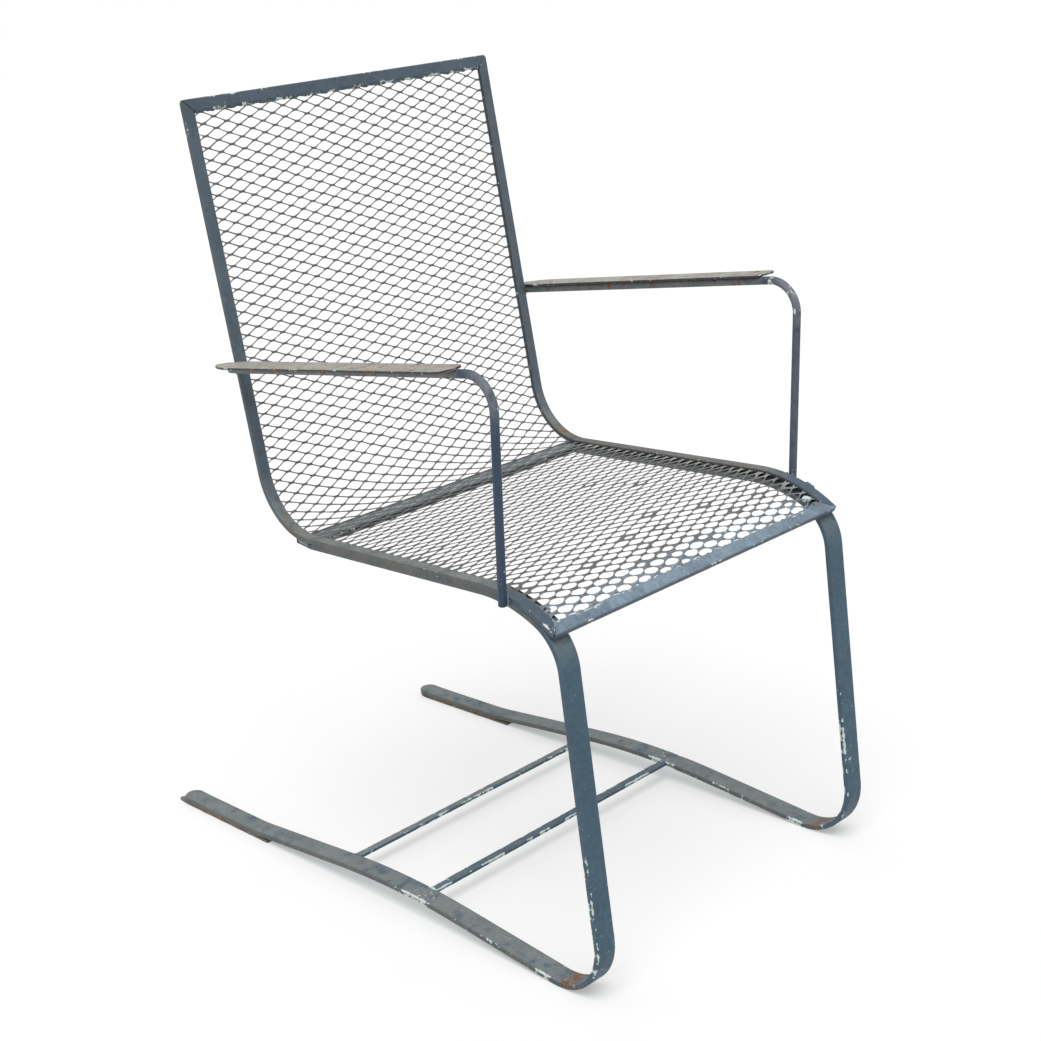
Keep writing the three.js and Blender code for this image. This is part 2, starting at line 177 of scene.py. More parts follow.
class ChairMeshSizes(bpy.types.PropertyGroup):
    """Raised expanded metal: zigzag strips joined at bonds, every strip turned up on its edge"""

    half_long: length("Half long pitch", "Half the long way of an opening, across the chair", 0.01533)
    half_short: length("Half short pitch", "Half the short way of an opening, along the frame", 0.006425)
    strip_width: length("Strip width", "Width of a strand", 0.00115)
    strip_thickness: length("Strip thickness", "Thickness of a strand with its paint", 0.00072)
    bond_length: length("Bond length", "Length of a bond between two strips", 0.0040)
    tilt: angle("Tilt", "How far the strands are turned out of the sheet", 20.0)
    sink: length("Sink", "Depth of the sheet's middle below the frame's face", 0.0024)
    first_bond_x: length("First bond", "Place of a bond across the chair", -0.1977)
    first_bond_drop: length("First bond drop", "Distance of the first row of bonds below the top edge", 0.0152)
    oval_length: length("Oval length", "Length of an opening rounded by thick paint", 0.0186)
    oval_width: length("Oval width", "Width of an opening rounded by thick paint", 0.0096)
    sag: length("Sag", "How far the sheet is pressed down behind the front edge", 0.0045)
    sag_length: length("Sag length", "Length of the pressed part behind the front edge", 0.135)
    waviness: length("Waviness", "How far bonds stray from the even lattice", 0.00045)
    seed: IntProperty(name="Seed", description="Seed of the irregularities", default=7, min=0)


class ChairFinish(bpy.types.PropertyGroup):
    """Colours of the worn finish"""

    frame_paint: colour("Frame paint", "Slate-blue paint of the frame", (0.080, 0.118, 0.158))
    frame_shade: colour("Frame shade", "Darker tone of the frame paint", (0.045, 0.062, 0.080))
    spring_paint: colour("Spring paint", "Blue paint of the leaf springs", (0.044, 0.102, 0.152))
    spring_shade: colour("Spring shade", "Darker tone of the spring paint", (0.026, 0.056, 0.088))
    arm_paint: colour("Arm paint", "Dark blue paint of the arm rods", (0.027, 0.051, 0.096))
    arm_shade: colour("Arm shade", "Purple-grey tone of the arm rods", (0.200, 0.205, 0.235))
    rest_paint: colour("Armrest paint", "Faded grey-green paint of the armrests", (0.410, 0.405, 0.370))
    rest_shade: colour("Armrest shade", "Darker tone of the armrests", (0.230, 0.205, 0.180))
    mesh_paint: colour("Mesh paint", "Grey paint of the mesh", (0.168, 0.170, 0.168))
    mesh_shade: colour("Mesh shade", "Darker tone of the mesh paint", (0.092, 0.090, 0.096))
    faded_paint: colour("Faded paint", "Chalky grey-green of faces that look up", (0.245, 0.258, 0.240))
    side_paint: colour("Side paint", "Brown-grey of the bars' outer sides", (0.145, 0.138, 0.118))
    # Pale worn paint of the cross bar, with the sheen of its upper face painted in
    cross_paint_and_sheen: colour("Cross bar paint", "Pale worn paint of the rear cross bar", (0.360, 0.395, 0.400))
    front_paint: colour("Front paint", "Paler blue paint of the front rail", (0.240, 0.315, 0.390))
    # Painted shade: the dark colour of gaps, cross bar edges, springs under the seat, rods under the armrests and
    # armrest sides
    painted_shade: colour("Gap shade", "Dirt in gaps, under the armrests and under the seat", (0.022, 0.025, 0.032))
    chip: colour("Chips", "Pale primer where paint has chipped", (0.62, 0.70, 0.67))
    rust_light: colour("Light rust", "Orange rust", (0.31, 0.15, 0.055))
    rust_dark: colour("Dark rust", "Brown rust", (0.095, 0.042, 0.022))
    floor: colour("Floor", "Pale floor", (0.62, 0.62, 0.62))


class ChairSettings(bpy.types.PropertyGroup):
    """All settings of the chair"""

    frame: PointerProperty(type=ChairFrameSizes, name="Frame", description="Seat and back frame")
    springs: PointerProperty(type=ChairSpringSizes, name="Springs", description="Leaf springs and stretchers")
    arms: PointerProperty(type=ChairArmSizes, name="Arms", description="Arm rods and armrests")
    net: PointerProperty(type=ChairMeshSizes, name="Mesh", description="Expanded metal sheet")
    finish: PointerProperty(type=ChairFinish, name="Finish", description="Colours of the worn finish")


# Paths in the side plane

# Numbers of lengths that others are placed by, on the rail's path, the leaf spring's and the arm rod's
SEAT, REAR_BEND, BACK = 2, 3, 4
KNEE = 2
ROD_BEND, ROD_ARM = 1, 2


class SidePath:
    """Path in the side plane, y to the rear and z up. On a bend of curvature k the heading grows by k times the
    distance, and the point moves by the differences of sine and cosine of the heading, over k."""

    def __init__(self, y, z, heading):
        self.rows = []  # start, y, z, heading and curvature of each length
        self.end = (y, z, heading)
        self.length = 0.0

    def extend(self, distance, curvature):
        self.rows.append((self.length, *self.end, curvature))
        self.length += distance
        self.end = tuple(float(value) for value in self.at(self.length))
        return self

    def straight(self, distance):
        return self.extend(distance, 0.0)

    def bend(self, radius, turn):
        return self.extend(radius * abs(turn), math.copysign(1 / radius, turn))

    def start(self, number):
        """Place where a length of the path starts"""
        return self.rows[number][0]

    def at(self, places):
        """y, z and heading at each distance along the path"""
        table = np.array(self.rows)
        places = np.asarray(places, float)
        found = np.clip(np.searchsorted(table[:, 0], places, side="right") - 1, 0, len(table) - 1)
        start, y, z, heading, curvature = table[found].T
        distance = places - start
        bent = np.abs(curvature) > 0
        safe = np.where(bent, curvature, 1.0)
        turned = heading + curvature * distance
        y = y + np.where(bent, (np.sin(turned) - np.sin(heading)) / safe, np.cos(heading) * distance)
        z = z + np.where(bent, (np.cos(heading) - np.cos(turned)) / safe, np.sin(heading) * distance)
        return y, z, turned

    def spot(self, place, depth, ahead=0.0):
        """y and z at a depth under the path at a place, and so far ahead along its direction there"""
        y, z, heading = self.at(place)
        sine, cosine = math.sin(heading), math.cos(heading)
        return y + sine * depth + cosine * ahead, z - cosine * depth + sine * ahead

    def stations(self, low, high, step=0.006, turn=math.radians(3)):
        """Distances from low to high, a step apart, and closer together on tight bends"""
        places = [low, high]
        ends = [row[0] for row in self.rows[1:]] + [self.length]
        for (start, *_, curvature), end in zip(self.rows, ends):
            pitch = min(step, turn / abs(curvature)) if curvature else step
            places.extend(np.linspace(start, end, max(2, math.ceil((end - start) / pitch) + 1)))
        places = np.unique(np.round(places, 6))
        return places[(places >= low - 1e-9) & (places <= high + 1e-9)]


def frame_path(sizes):
    """Upper face of the side rails, from the front edge to the top of the back"""
    front_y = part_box("front_rail")[0].y - SOLID_CHAMFER * math.sin(sizes.front_slope)
    path = SidePath(front_y, sizes.front_height, sizes.front_slope)
    path.straight(sizes.bar_width)
    path.bend(sizes.waterfall_radius, -sizes.front_slope)
    path.straight(sizes.seat_length)
    path.bend(sizes.rear_radius, QUARTER - sizes.back_lean)
    return path.straight(sizes.back_length)


def leaf_path(sizes, springs):
    """Outer face of the leaf spring, from the rear end of its arm to the tip of its runner.
    The leg is as long as it must be for the foot to touch the floor, and the fall as long as it must be for the
    tail to lie on the lower leaf. Also returns the places of the foot's end and of the settled tail."""
    rail = frame_path(sizes)
    seat_start = rail.start(SEAT)
    under = sizes.bar_thickness + sizes.gap
    arm_end = rail.start(REAR_BEND) + sizes.cross_past_seat - sizes.cross_width / 2 - sizes.gap
    path = SidePath(*rail.spot(arm_end, under), rail.at(arm_end)[2] + math.pi)
    path.straight(arm_end - seat_start)
    path.bend(sizes.waterfall_radius - under, (seat_start - springs.knee_setback) / sizes.waterfall_radius)
    down = 3 * QUARTER - springs.leg_lean
    path.bend(springs.knee_radius, down - path.end[2])
    foot_start = springs.foot_radius * (1 - math.cos(down))
    path.straight((path.end[1] - foot_start) / -math.sin(down))
    path.bend(springs.foot_radius, math.tau - down)
    path.bend(springs.foot_radius, springs.rise)
    foot_end = path.length
    path.straight(springs.rise_length)
    path.bend(springs.crest_radius, -(springs.rise + springs.fall))
    settle_drop = springs.settle_radius * (1 - math.cos(springs.fall))
    to_lower_leaf = path.end[1] - springs.lower_thickness - sizes.gap
    path.straight((to_lower_leaf - settle_drop) / math.sin(springs.fall))
    path.bend(springs.settle_radius, springs.fall)
    settled = path.length
    path.straight(springs.tail_length)
    path.bend(springs.tail_lift_radius, springs.tail_lift)
    path.straight(springs.tail_tip)
    return path, foot_end, settled


def arm_path(sizes, arms):
    """Centre line of the arm rod, from its foot to just past the stile, and the distance from bend to stile"""
    rail = frame_path(sizes)
    path = SidePath(rail.at(0.0)[0] + arms.foot_place, arms.foot_height, QUARTER + arms.post_lean)
    path.straight(arms.post_length)
    path.bend(arms.bend_radius, -(QUARTER + arms.post_lean + arms.fall))
    lean = rail.at(rail.start(BACK))[2]
    back_y, back_z = rail.spot(rail.start(BACK), sizes.bar_thickness)
    y, z, heading = path.end
    across = (back_y - y) * math.sin(lean) - (back_z - z) * math.cos(lean)
    reach = across / math.sin(lean - heading)
    path.straight(reach + arms.past_stile)
    return path, reach


# Meshes from grids of points


def wobble(values, seed, period):
    """Sum of sines of random phase and of periods near the given one, from about -1 to 1"""
    waves = 5
    chance = np.random.RandomState(seed)
    phases = chance.uniform(0, math.tau, waves)
    periods = period * chance.uniform(0.6, 1.7, waves)
    turns = np.asarray(values, float)[..., None] * (math.tau / periods) + phases
    return np.sin(turns).sum(-1) / math.sqrt(waves) * 0.8


def humps(values, base, *rows):
    """The base, plus a smooth hump for each row of height, centre and half width"""
    for height, centre, half in rows:
        t = np.clip(1 - np.abs(values - centre) / half, 0, 1)
        base = base + height * (t * t * (3 - 2 * t))
    return base


def ramp(values, start, reach, least=0.0):
    """0 at the start and 1 at a reach behind it, or ahead of it if the reach is negative, but not under the least"""
    return np.clip((values - start) / reach, least, 1)


def facing_out(points, faces):
    """True if triangles fanned from each face enclose a positive volume"""
    volume = 0.0
    for face in faces:
        corners = points[face]
        for i in range(1, face.shape[1] - 1):
            volume += np.einsum("ij,ij->i", corners[:, 0], np.cross(corners[:, i], corners[:, i + 1])).sum()
    return volume > 0


def set_marks(mesh, marks):
    """Writes marks, which are numbers or arrays of one number per point, as attributes of the mesh"""
    for name, values in marks.items():
        layer = mesh.attributes.new(name, "FLOAT", "POINT")
        layer.data.foreach_set("value", np.broadcast_to(values, len(mesh.vertices)).astype(np.float32))


def make_mesh(name, points, faces, marks):
    """Object from points and from arrays of faces, each array with one count of corners, with its faces turned out"""
    if not facing_out(points, faces):
        faces = [face[:, ::-1] for face in faces]
    counts = np.concatenate([np.full(len(face), face.shape[1]) for face in faces])
    mesh = bpy.data.meshes.new(name)
    mesh.vertices.add(len(points))
    mesh.vertices.foreach_set("co", points.astype(np.float32).ravel())
    mesh.loops.add(int(counts.sum()))
    mesh.loops.foreach_set("vertex_index", np.concatenate([face.ravel() for face in faces]).astype(np.int32))
    mesh.polygons.add(len(counts))
    mesh.polygons.foreach_set("loop_start", (np.cumsum(counts) - counts).astype(np.int32))
    mesh.update(calc_edges=True)
    if mesh.validate():
        raise ValueError(f"{name} has bad faces")
    mesh.polygons.foreach_set("use_smooth", np.ones(len(counts), bool))
    set_marks(mesh, marks)
    piece = bpy.data.objects.new(name, mesh)
    bpy.context.scene.collection.objects.link(piece)
    return piece


def tube_faces(rows, ring):
    """Quads between neighbouring rings, and one face with all its corners over each end"""
    first = np.arange(rows - 1)[:, None] * ring
    here = np.arange(ring)[None, :]
    after = (here + 1) % ring
    quads = np.stack([first + here, first + after, first + ring + after, first + ring + here], -1).reshape(-1, 4)
    caps = np.stack([np.arange(ring)[::-1], (rows - 1) * ring + np.arange(ring)])
    return [quads, caps]


def sweep(name, axes, section, marks):
    """Tube whose point j of ring i is origin i plus section a(i, j) along across i and b(i, j) along normal i.
    A mark is a number, or an array that goes with rings by points."""
    origin, across, normal = axes
    a, b, edge = section
    points = origin[:, None] + a[..., None] * across[:, None] + b[..., None] * normal[:, None]
    flat = {key: np.broadcast_to(values, a.shape).ravel() for key, values in {"edge": edge, **marks}.items()}
    return make_mesh(name, points.reshape(-1, 3), tube_faces(*a.shape), flat)


def flat_bar(name, axes, section, marks):
    """Swept bar. Normals weighted by face size keep its wide faces looking flat up to the rounded edges."""
    piece = sweep(name, axes, section, marks)
    piece.modifiers.new("weighted_normals", "WEIGHTED_NORMAL").keep_sharp = False
    return piece


def side_axes(path, places, x=0.0, depth=0.0):
    """Points of a side path at x and at a depth under it, the direction across the chair and the path's normal"""
    y, z, heading = path.at(places)
    normal = np.stack([0 * y, -np.sin(heading), np.cos(heading)], -1)
    return np.stack([0 * y + x, y, z], -1) - normal * depth, np.array([[1.0, 0.0, 0.0]]), normal


def cross_axes(path, place, x, ahead=0.0, depth=0.0):
    """Points at x, so far ahead of a place of a side path and at a depth under it, its direction and its normal"""
    y, z, heading = path.at(place)
    along = np.array([[0, math.cos(heading), math.sin(heading)]])
    normal = np.array([[0, -math.sin(heading), math.cos(heading)]])
    return np.stack([x, 0 * x + y, 0 * x + z], -1) + along * ahead - normal * depth, along, normal


def bar_section(low_a, high_a, low_b, high_b, radius, inset=0.0016):
    """Rounded rectangle: three points on the rounding of each corner, one a little way in from each corner on the
    wide faces, and one in the middle of every face. Also returns how close each point is to an edge, from 0 to 1."""
    low_a, high_a, low_b, high_b = (v[:, None] for v in np.broadcast_arrays(low_a, high_a, low_b, high_b))
    half_a, half_b = (high_a - low_a) / 2, (high_b - low_b) / 2
    r = np.minimum(radius, np.minimum(half_a * 0.7, half_b * 0.9))
    q = np.minimum(r + inset, half_a * 0.85)
    ring = []
    for sign_a, sign_b in ((1, 1), (-1, 1), (-1, -1), (1, -1)):
        if sign_a == sign_b:
            ring.append((sign_a * half_a, 0 * half_b, 0.12))
        else:
            ring.extend((way * sign_a * (half_a - q), sign_b * half_b, 0.0) for way in (-1, 0, 1))
        for step in (0, 1, 2) if sign_a == sign_b else (2, 1, 0):
            turn = step * QUARTER / 2
            a, b = half_a - r + r * math.cos(turn), half_b - r + r * math.sin(turn)
            ring.append((sign_a * a, sign_b * b, 1.0 if step == 1 else 0.8))
    a, b, edge = zip(*ring)
    return (low_a + high_a) / 2 + np.concatenate(a, -1), (low_b + high_b) / 2 + np.concatenate(b, -1), np.array([edge])


def round_section(radius, sides, edge):
    """Circle of the given radius at every ring"""
    turn = (np.arange(sides) + 0.5) * math.tau / sides
    radius = radius[:, None]
    return radius * np.sin(turn), radius * np.cos(turn), edge


def up_share(axes, section):
    """How far each point of a section looks up, from 0 to 1, by the direction of the section's outline there"""
    _, across, normal = axes
    a, b, _ = section
    da = np.roll(a, -1, 1) - np.roll(a, 1, 1)
    db = np.roll(b, -1, 1) - np.roll(b, 1, 1)
    size = np.maximum(np.hypot(da, db), 1e-9)
    up = (db / size) * across[:, None, 2] - (da / size) * normal[:, None, 2]
    flip = np.sign(((b - b.mean(1, keepdims=True)) * -(da / size)).sum(1, keepdims=True))
    return np.clip(up * np.where(flip == 0, 1, flip), 0, 1)


def side_share(section):
    """1 on the narrow sides of a bar section, 0 on its wide faces"""
    a = section[0]
    high, low = a.max(1, keepdims=True), a.min(1, keepdims=True)
    return np.clip(np.abs(a - (high + low) / 2) / ((high - low) / 2) * 6 - 5, 0, 1)


def bead_rings(start, finish, radius, seed, rows=14, sides=10):
    """Weld bead: rings of uneven radius on a straight line, drawn in to its ends by a fourth power"""
    start, finish = np.array(start), np.array(finish)
    along = (finish - start) / np.linalg.norm(finish - start)
    helper = np.array([0, 0, 1.0]) if abs(along[2]) < 0.9 else np.array([0, 1.0, 0])
    across = np.cross(along, helper)
    across /= np.linalg.norm(across)
    normal = np.cross(across, along)
    t = np.linspace(-1, 1, rows)
    size = radius * np.sqrt(np.clip(1 - t**4, 0.02, 1)) * (1 + 0.25 * wobble(np.arange(rows), seed, 4.0))
    a, b, _ = round_section(size, sides, None)
    centre = start + (finish - start) * (t[:, None] + 1) / 2
    return centre[:, None] + a[..., None] * across + b[..., None] * normal


def weld(name, beads, body, slot):
    """Weld beads as one piece. Each bead is (start, finish, radius, chips mark, rust mark)."""
    rings = [bead_rings(*bead[:3], seed=60 + i) for i, bead in enumerate(beads)]
    points = np.concatenate([ring.reshape(-1, 3) for ring in rings])
    rows, sides = rings[0].shape[:2]
    first = np.arange(len(beads))[:, None, None] * rows * sides
    faces = [(face + first).reshape(-1, face.shape[1]) for face in tube_faces(rows, sides)]
    chips, rust = (np.repeat([bead[i] for bead in beads], rows * sides) for i in (3, 4))
    piece = make_mesh(name, points, faces, {"edge": 0.6, "fade": 0.3, "chips": chips, "rust": rust})
    finished(piece, "weld_finish", body, slot)


def finished(piece, finish, body, slot, *nodes):
    """Gives a piece its material and its body, and hides the CAD nodes that it stands for. The slot is not used."""
    piece.data.materials.append(chair_material(finish))
    if body:
        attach(piece, body)
    if nodes:
        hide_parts(*nodes)


# Materials


class Nodes:
    """Short calls for the nodes of one tree. A value is a number, a colour or the output of another node."""

    def __init__(self, tree):
        self.tree = tree

    def put(self, socket, value):
        if hasattr(value, "is_linked"):
            self.tree.links.new(value, socket)
        else:
            socket.default_value = (*value, 1.0) if socket.type == "RGBA" else value

    def make(self, kind, inputs, **settings):
        """Outputs of a new node with the given settings and inputs"""
        node = self.tree.nodes.new("ShaderNode" + kind)
        for key, value in settings.items():
            setattr(node, key, value)
        for key, value in inputs.items():
            self.put(node.inputs[key], value)
        return node.outputs

    def math(self, operation, first, second, clamp=False):
        return self.make("Math", {0: first, 1: second}, operation=operation, use_clamp=clamp)[0]

    def plus(self, first, second, clamp=False):
        return self.math("ADD", first, second, clamp)

    def minus(self, first, second):
        return self.math("SUBTRACT", first, second)

    def times(self, first, second, clamp=False):
        return self.math("MULTIPLY", first, second, clamp)

    def noise(self, vector, scale, detail, roughness, distortion=0.0):
        given = {"Vector": vector, "Scale": scale, "Detail": detail, "Roughness": roughness, "Distortion": distortion}
        return self.make("TexNoise", given)["Fac"]

    def step(self, value, low, high):
        """Smooth step from 0 at low to 1 at high"""
        given = {"Value": value, "From Min": low, "From Max": high}
        return self.make("MapRange", given, interpolation_type="SMOOTHSTEP")["Result"]

    def mix(self, factor, first, second):
        return self.make("Mix", {0: factor, 6: first, 7: second}, data_type="RGBA")[2]

    def mark(self, name):
        return self.make("Attribute", {}, attribute_name=name)["Fac"]

    def group(self, name, **inputs):
        return self.make("Group", inputs, node_tree=bpy.data.node_groups[name])


def new_group(name, inputs, outputs):
    """Shader node group whose inputs and outputs are given as names with kinds"""
    tree = bpy.data.node_groups.new(name, "ShaderNodeTree")
    for way, sockets in (("INPUT", inputs), ("OUTPUT", outputs)):
        for label, kind in sockets.items():
            tree.interface.new_socket(name=label, in_out=way, socket_type="NodeSocket" + kind)
    return Nodes(tree), tree.nodes.new("NodeGroupInput").outputs, tree.nodes.new("NodeGroupOutput").inputs


def build_worn_paint():
    """Mottled paint in two tones, with small dark pits.
    The tone follows two noises, one of hand size and one of finger-tip size, and a fine one grains it."""
    n, given, out = new_group(
        "worn_paint",
        {"Vector": "Vector", "Paint": "Color", "Shade": "Color", "Patchiness": "Float"},
        {"Color": "Color", "Roughness": "Float", "Height": "Float"},
    )
    vector = given["Vector"]
    broad = n.step(n.noise(vector, 26.0, 4.0, 0.6), 0.38, 0.66)
    close = n.step(n.noise(vector, 170.0, 4.0, 0.65, 0.4), 0.36, 0.70)
    grain = n.noise(vector, 900.0, 2.0, 0.6)
    amount = n.times(n.plus(n.times(broad, 0.55), n.times(close, 0.45)), given["Patchiness"], clamp=True)
    toned = n.mix(amount, given["Paint"], given["Shade"])
    grained = n.make("VectorMath", {0: toned, "Scale": n.plus(n.times(grain, 0.5), 0.75)}, operation="SCALE")[0]
    pits = n.step(n.noise(vector, 420.0, 1.0, 0.5), 0.70, 0.76)
    n.put(out["Color"], n.mix(n.times(pits, 0.6), grained, PIT_COLOUR))
    n.put(out["Roughness"], n.plus(n.plus(n.times(close, 0.16), 0.40), n.times(grain, 0.12)))
    n.put(out["Height"], n.minus(n.plus(close, n.times(grain, 0.5)), pits))


def build_chip_mask():
    """Chips along edges: the nearness to an edge, times how chipped the place is, plus a noise, past a threshold.
    A broader noise gathers them in groups, and a place chipped by more than 1 has them whatever that noise."""
    n, given, out = new_group("chip_mask", {"Vector": "Vector", "Edge": "Float", "Chips": "Float"}, {"Mask": "Float"})
    gathered = n.step(n.noise(given["Vector"], 48.0, 2.0, 0.5), 0.40, 0.62)
    gathered = n.math("MAXIMUM", gathered, n.minus(given["Chips"], 1.0))
    chips = n.times(given["Chips"], gathered)
    wear = n.times(given["Edge"], n.times(chips, 0.40))
    total = n.plus(n.plus(n.noise(given["Vector"], 230.0, 3.0, 0.6), wear), n.times(chips, 0.11))
    n.put(out["Mask"], n.step(total, 0.735, 0.775))


def build_rust_bloom():
    """Rust where the rust mark and a noise together pass a threshold, orange to brown by a finer noise"""
    n, given, out = new_group(
        "rust_bloom",
        {"Vector": "Vector", "Rust": "Float", "Light": "Color", "Dark": "Color"},
        {"Color": "Color", "Mask": "Float"},
    )
    patch = n.noise(given["Vector"], 95.0, 5.0, 0.62, 0.3)
    n.put(out["Mask"], n.step(n.plus(patch, n.times(given["Rust"], 0.50)), 0.70, 0.92))
    tone = n.step(n.noise(given["Vector"], 330.0, 3.0, 0.6), 0.35, 0.68)
    n.put(out["Color"], n.mix(tone, given["Light"], given["Dark"]))


# Each finish: its paint and shade, its patchiness, how far the fade mark counts, and what differs from painted()'s own
FINISHES = {
    "frame_finish": ("frame_paint", "frame_shade", 0.6, 1.0, {"side": 0.9}),
    # On the front rail the side mark gives painted shade, in the darker frame tone
    "front_finish": ("front_paint", "frame_paint", 0.8, 0.0, {"side": 0.9, "side_paint": "frame_shade"}),
    # The cross bar's pale paint holds a painted sheen, and its edges take painted shade by the dark mark
    "cross_finish": ("cross_paint_and_sheen", "spring_paint", 0.55, 0.0, {"rust": 0.6}),
    "spring_finish": ("spring_paint", "spring_shade", 0.5, 0.8, {"side": 0.9}),
    "arm_finish": (
        "arm_paint", "spring_shade", 0.5, 1.0, {"fade_paint": "arm_shade", "side": 0.75, "side_paint": "faded_paint"}
    ),
    "armrest_finish": ("rest_paint", "rest_shade", 0.6, 0.0, {}),
    "mesh_finish": (
        "mesh_paint", "mesh_shade", 0.6, 0.15, {"fade_paint": "rest_paint", "side": 0.85, "side_paint": "front_paint"}
    ),
    "lower_leaf_finish": ("side_paint", "rust_dark", 0.7, 0.5, {}),
    "weld_finish": ("spring_paint", "arm_shade", 0.9, 0.5, {"chips": 1.2}),
}


def painted(
    name, paint, shade, patchiness, fade,
    fade_paint="faded_paint", side=0.0, side_paint="side_paint", chips=1.0, rust=1.0
):
    """Worn paint over steel: mottled paint, chalky where it looks up, of another colour where the side mark says so,
    darkened with painted shade where the dark mark says so, chipped and rusty by marks"""
    finish = bpy.context.scene.spring_chair.finish
    material = bpy.data.materials.new(name)
    material.use_nodes = True
    n = Nodes(material.node_tree)
    where = n.make("TexCoord", {})["Object"]

    def coat(colour_name, patches):
        colours = {"Paint": getattr(finish, colour_name), "Shade": getattr(finish, shade)}
        return n.group("worn_paint", Vector=where, Patchiness=patches, **colours)

    base = coat(paint, patchiness)
    streaks = n.step(n.noise(where, 60.0, 4.0, 0.6), 0.22, 0.52)
    faded = n.times(n.times(n.mark("fade"), streaks), fade, clamp=True)
    shown = n.mix(faded, base["Color"], coat(fade_paint, 0.35)["Color"])
    if side:
        shown = n.mix(n.times(n.mark("side"), side, clamp=True), shown, coat(side_paint, 0.5)["Color"])
    # Painted shade: where the dark mark is high, the colour is drawn to the dark shade colour of gaps and undersides
    shown = n.mix(n.step(n.mark("dark"), 0.45, 0.90), shown, finish.painted_shade)
    rust_mark = n.times(n.mark("rust"), rust)
    rusty = n.group("rust_bloom", Vector=where, Rust=rust_mark, Light=finish.rust_light, Dark=finish.rust_dark)
    shown = n.mix(rusty["Mask"], shown, rusty["Color"])
    chipped = n.group("chip_mask", Vector=where, Edge=n.mark("edge"), Chips=n.times(n.mark("chips"), chips))["Mask"]
    rough = n.plus(base["Roughness"], n.times(rusty["Mask"], 0.3))
    height = n.plus(n.minus(base["Height"], n.times(chipped, 1.2)), n.times(rusty["Mask"], 0.7))
    bump = n.make("Bump", {"Strength": 0.35, "Distance": 0.0004, "Height": height})
    surface = {
        "Base Color": n.mix(chipped, shown, finish.chip),
        "Roughness": n.plus(rough, n.times(faded, 0.18), clamp=True),
        "Normal": bump["Normal"],
        "Metallic": 0.0,
        "Specular IOR Level": 0.45,
    }
    for label, value in surface.items():
        n.put(n.tree.nodes["Principled BSDF"].inputs[label], value)
    return material


def chair_material(name):
    """The named finish, made on its first use"""
    if "worn_paint" not in bpy.data.node_groups:
        build_worn_paint()
        build_chip_mask()
        build_rust_bloom()
    if name not in bpy.data.materials:
        *values, others = FINISHES[name]
        painted(name, *values, **others)
    return bpy.data.materials[name]


# Pieces


def curve(t, start, pull, end):
    """Quadratic curve from start to end as t goes from 0 to 1, drawn to pull on its way"""
    return (1 - t) ** 2 * start + 2 * (1 - t) * t * pull + t**2 * end


def corner_draw(distance, radius):
    """How far a rounded corner draws the outer edge in, at a distance from the end"""
    rise = np.clip(radius - distance, 0, radius)
    return radius - np.sqrt(np.maximum(radius**2 - rise**2, 0))


def mitre_places(sizes, past_tip):
    """Distances from the end for the cross-sections of a mitred end"""
    radius = sizes.corner_radius
    tip = radius * (1 - math.sqrt(0.5)) + past_tip
    return np.concatenate([np.linspace(tip, radius, 6)[:-1], np.linspace(radius, sizes.bar_width, 5)])


def build_side_rails(sizes):
    """Side rail: the bar section along the frame path, its inner edge cut at 45 degrees near both ends.
    Chips lie at the front corner, along the seat and at the top corner, and a little rust at the rear bend. The sides
    are brown along the seat and less so along the back, and on the right the upper face is brown too."""
    path = frame_path(sizes)
    half = sizes.width / 2
    ends = mitre_places(sizes, sizes.gap + 0.0006)
    between = path.stations(sizes.bar_width, path.length - sizes.bar_width)[1:-1]
    places = np.concatenate([ends, between, (path.length - ends)[::-1]])
    from_end = np.minimum(places, path.length - places)
    outer = half - corner_draw(from_end, sizes.corner_radius)
    inner = np.maximum(half - sizes.bar_width, half - from_end + sizes.gap * math.sqrt(2))
    axes = side_axes(path, places)
    place = places[:, None]
    behind_front = ramp(place, *BEHIND_FRONT)
    for label, side in SIDES:
        low, high = (inner, outer) if side > 0 else (-outer, -inner)
        section = bar_section(low, high, -sizes.bar_thickness, 0.0, sizes.edge_radius)
        brown_top = 0.7 if side > 0 else 0.0
        marks = {
            "fade": up_share(axes, section) * behind_front,
            "side": np.maximum(side_share(section), brown_top) * behind_front * ramp(place, 0.47, -0.05, 0.25),
            "rust": humps(place, 0, (0.42, 0.43, 0.06)),
            "chips": np.clip(humps(place, 0.10, (0.50, 0.01, 0.05), (0.40, 0.20, 0.15), (0.30, 0.90, 0.05)), 0, 1),
        }
        piece = flat_bar(f"{label}_rail_bar", axes, section, marks)
        finished(piece, "frame_finish", "seat", "frame_paint", f"{label}_side_rail")


def build_end_rails(sizes):
    """Front and top rail: the bar section across the chair, shortened at 45 degrees near both ends"""
    path = frame_path(sizes)
    half = sizes.width / 2
    near = mitre_places(sizes, 0.0001)
    between = np.linspace(-half + sizes.bar_width, half - sizes.bar_width, 70)[1:-1]
    x = np.concatenate([-half + near, between, (half - near)[::-1]])
    from_end = half - np.abs(x)
    outer = corner_draw(from_end, sizes.corner_radius)
    inner = np.minimum(sizes.bar_width, from_end)
    chips = np.clip(humps(x, 0.40 + 0.2 * wobble(x, 5, 0.12), (0.45, -0.16, 0.05)), 0, 1)[:, None]
    for label, place, finish in (("front", 0.0, "front_finish"), ("top", path.length, "frame_finish")):
        front = label == "front"
        axes = cross_axes(path, place, x)
        low, high = (outer, inner) if front else (-inner, -outer)
        section = bar_section(low, high, -sizes.bar_thickness, 0.0, sizes.edge_radius)
        marks = {
            "fade": up_share(axes, section) * 0.4,
            # Painted shade: on the front rail the outer side, which faces forward and down, takes the darker frame tone
            "side": front * np.clip(1 - (section[0] - low[:, None]) / 0.0012, 0, 1),
            "rust": 0.1,
            "chips": chips,
        }
        piece = flat_bar(f"{label}_rail_bar", axes, section, marks)
        finished(piece, finish, "seat", "frame_paint", f"{label}_rail")


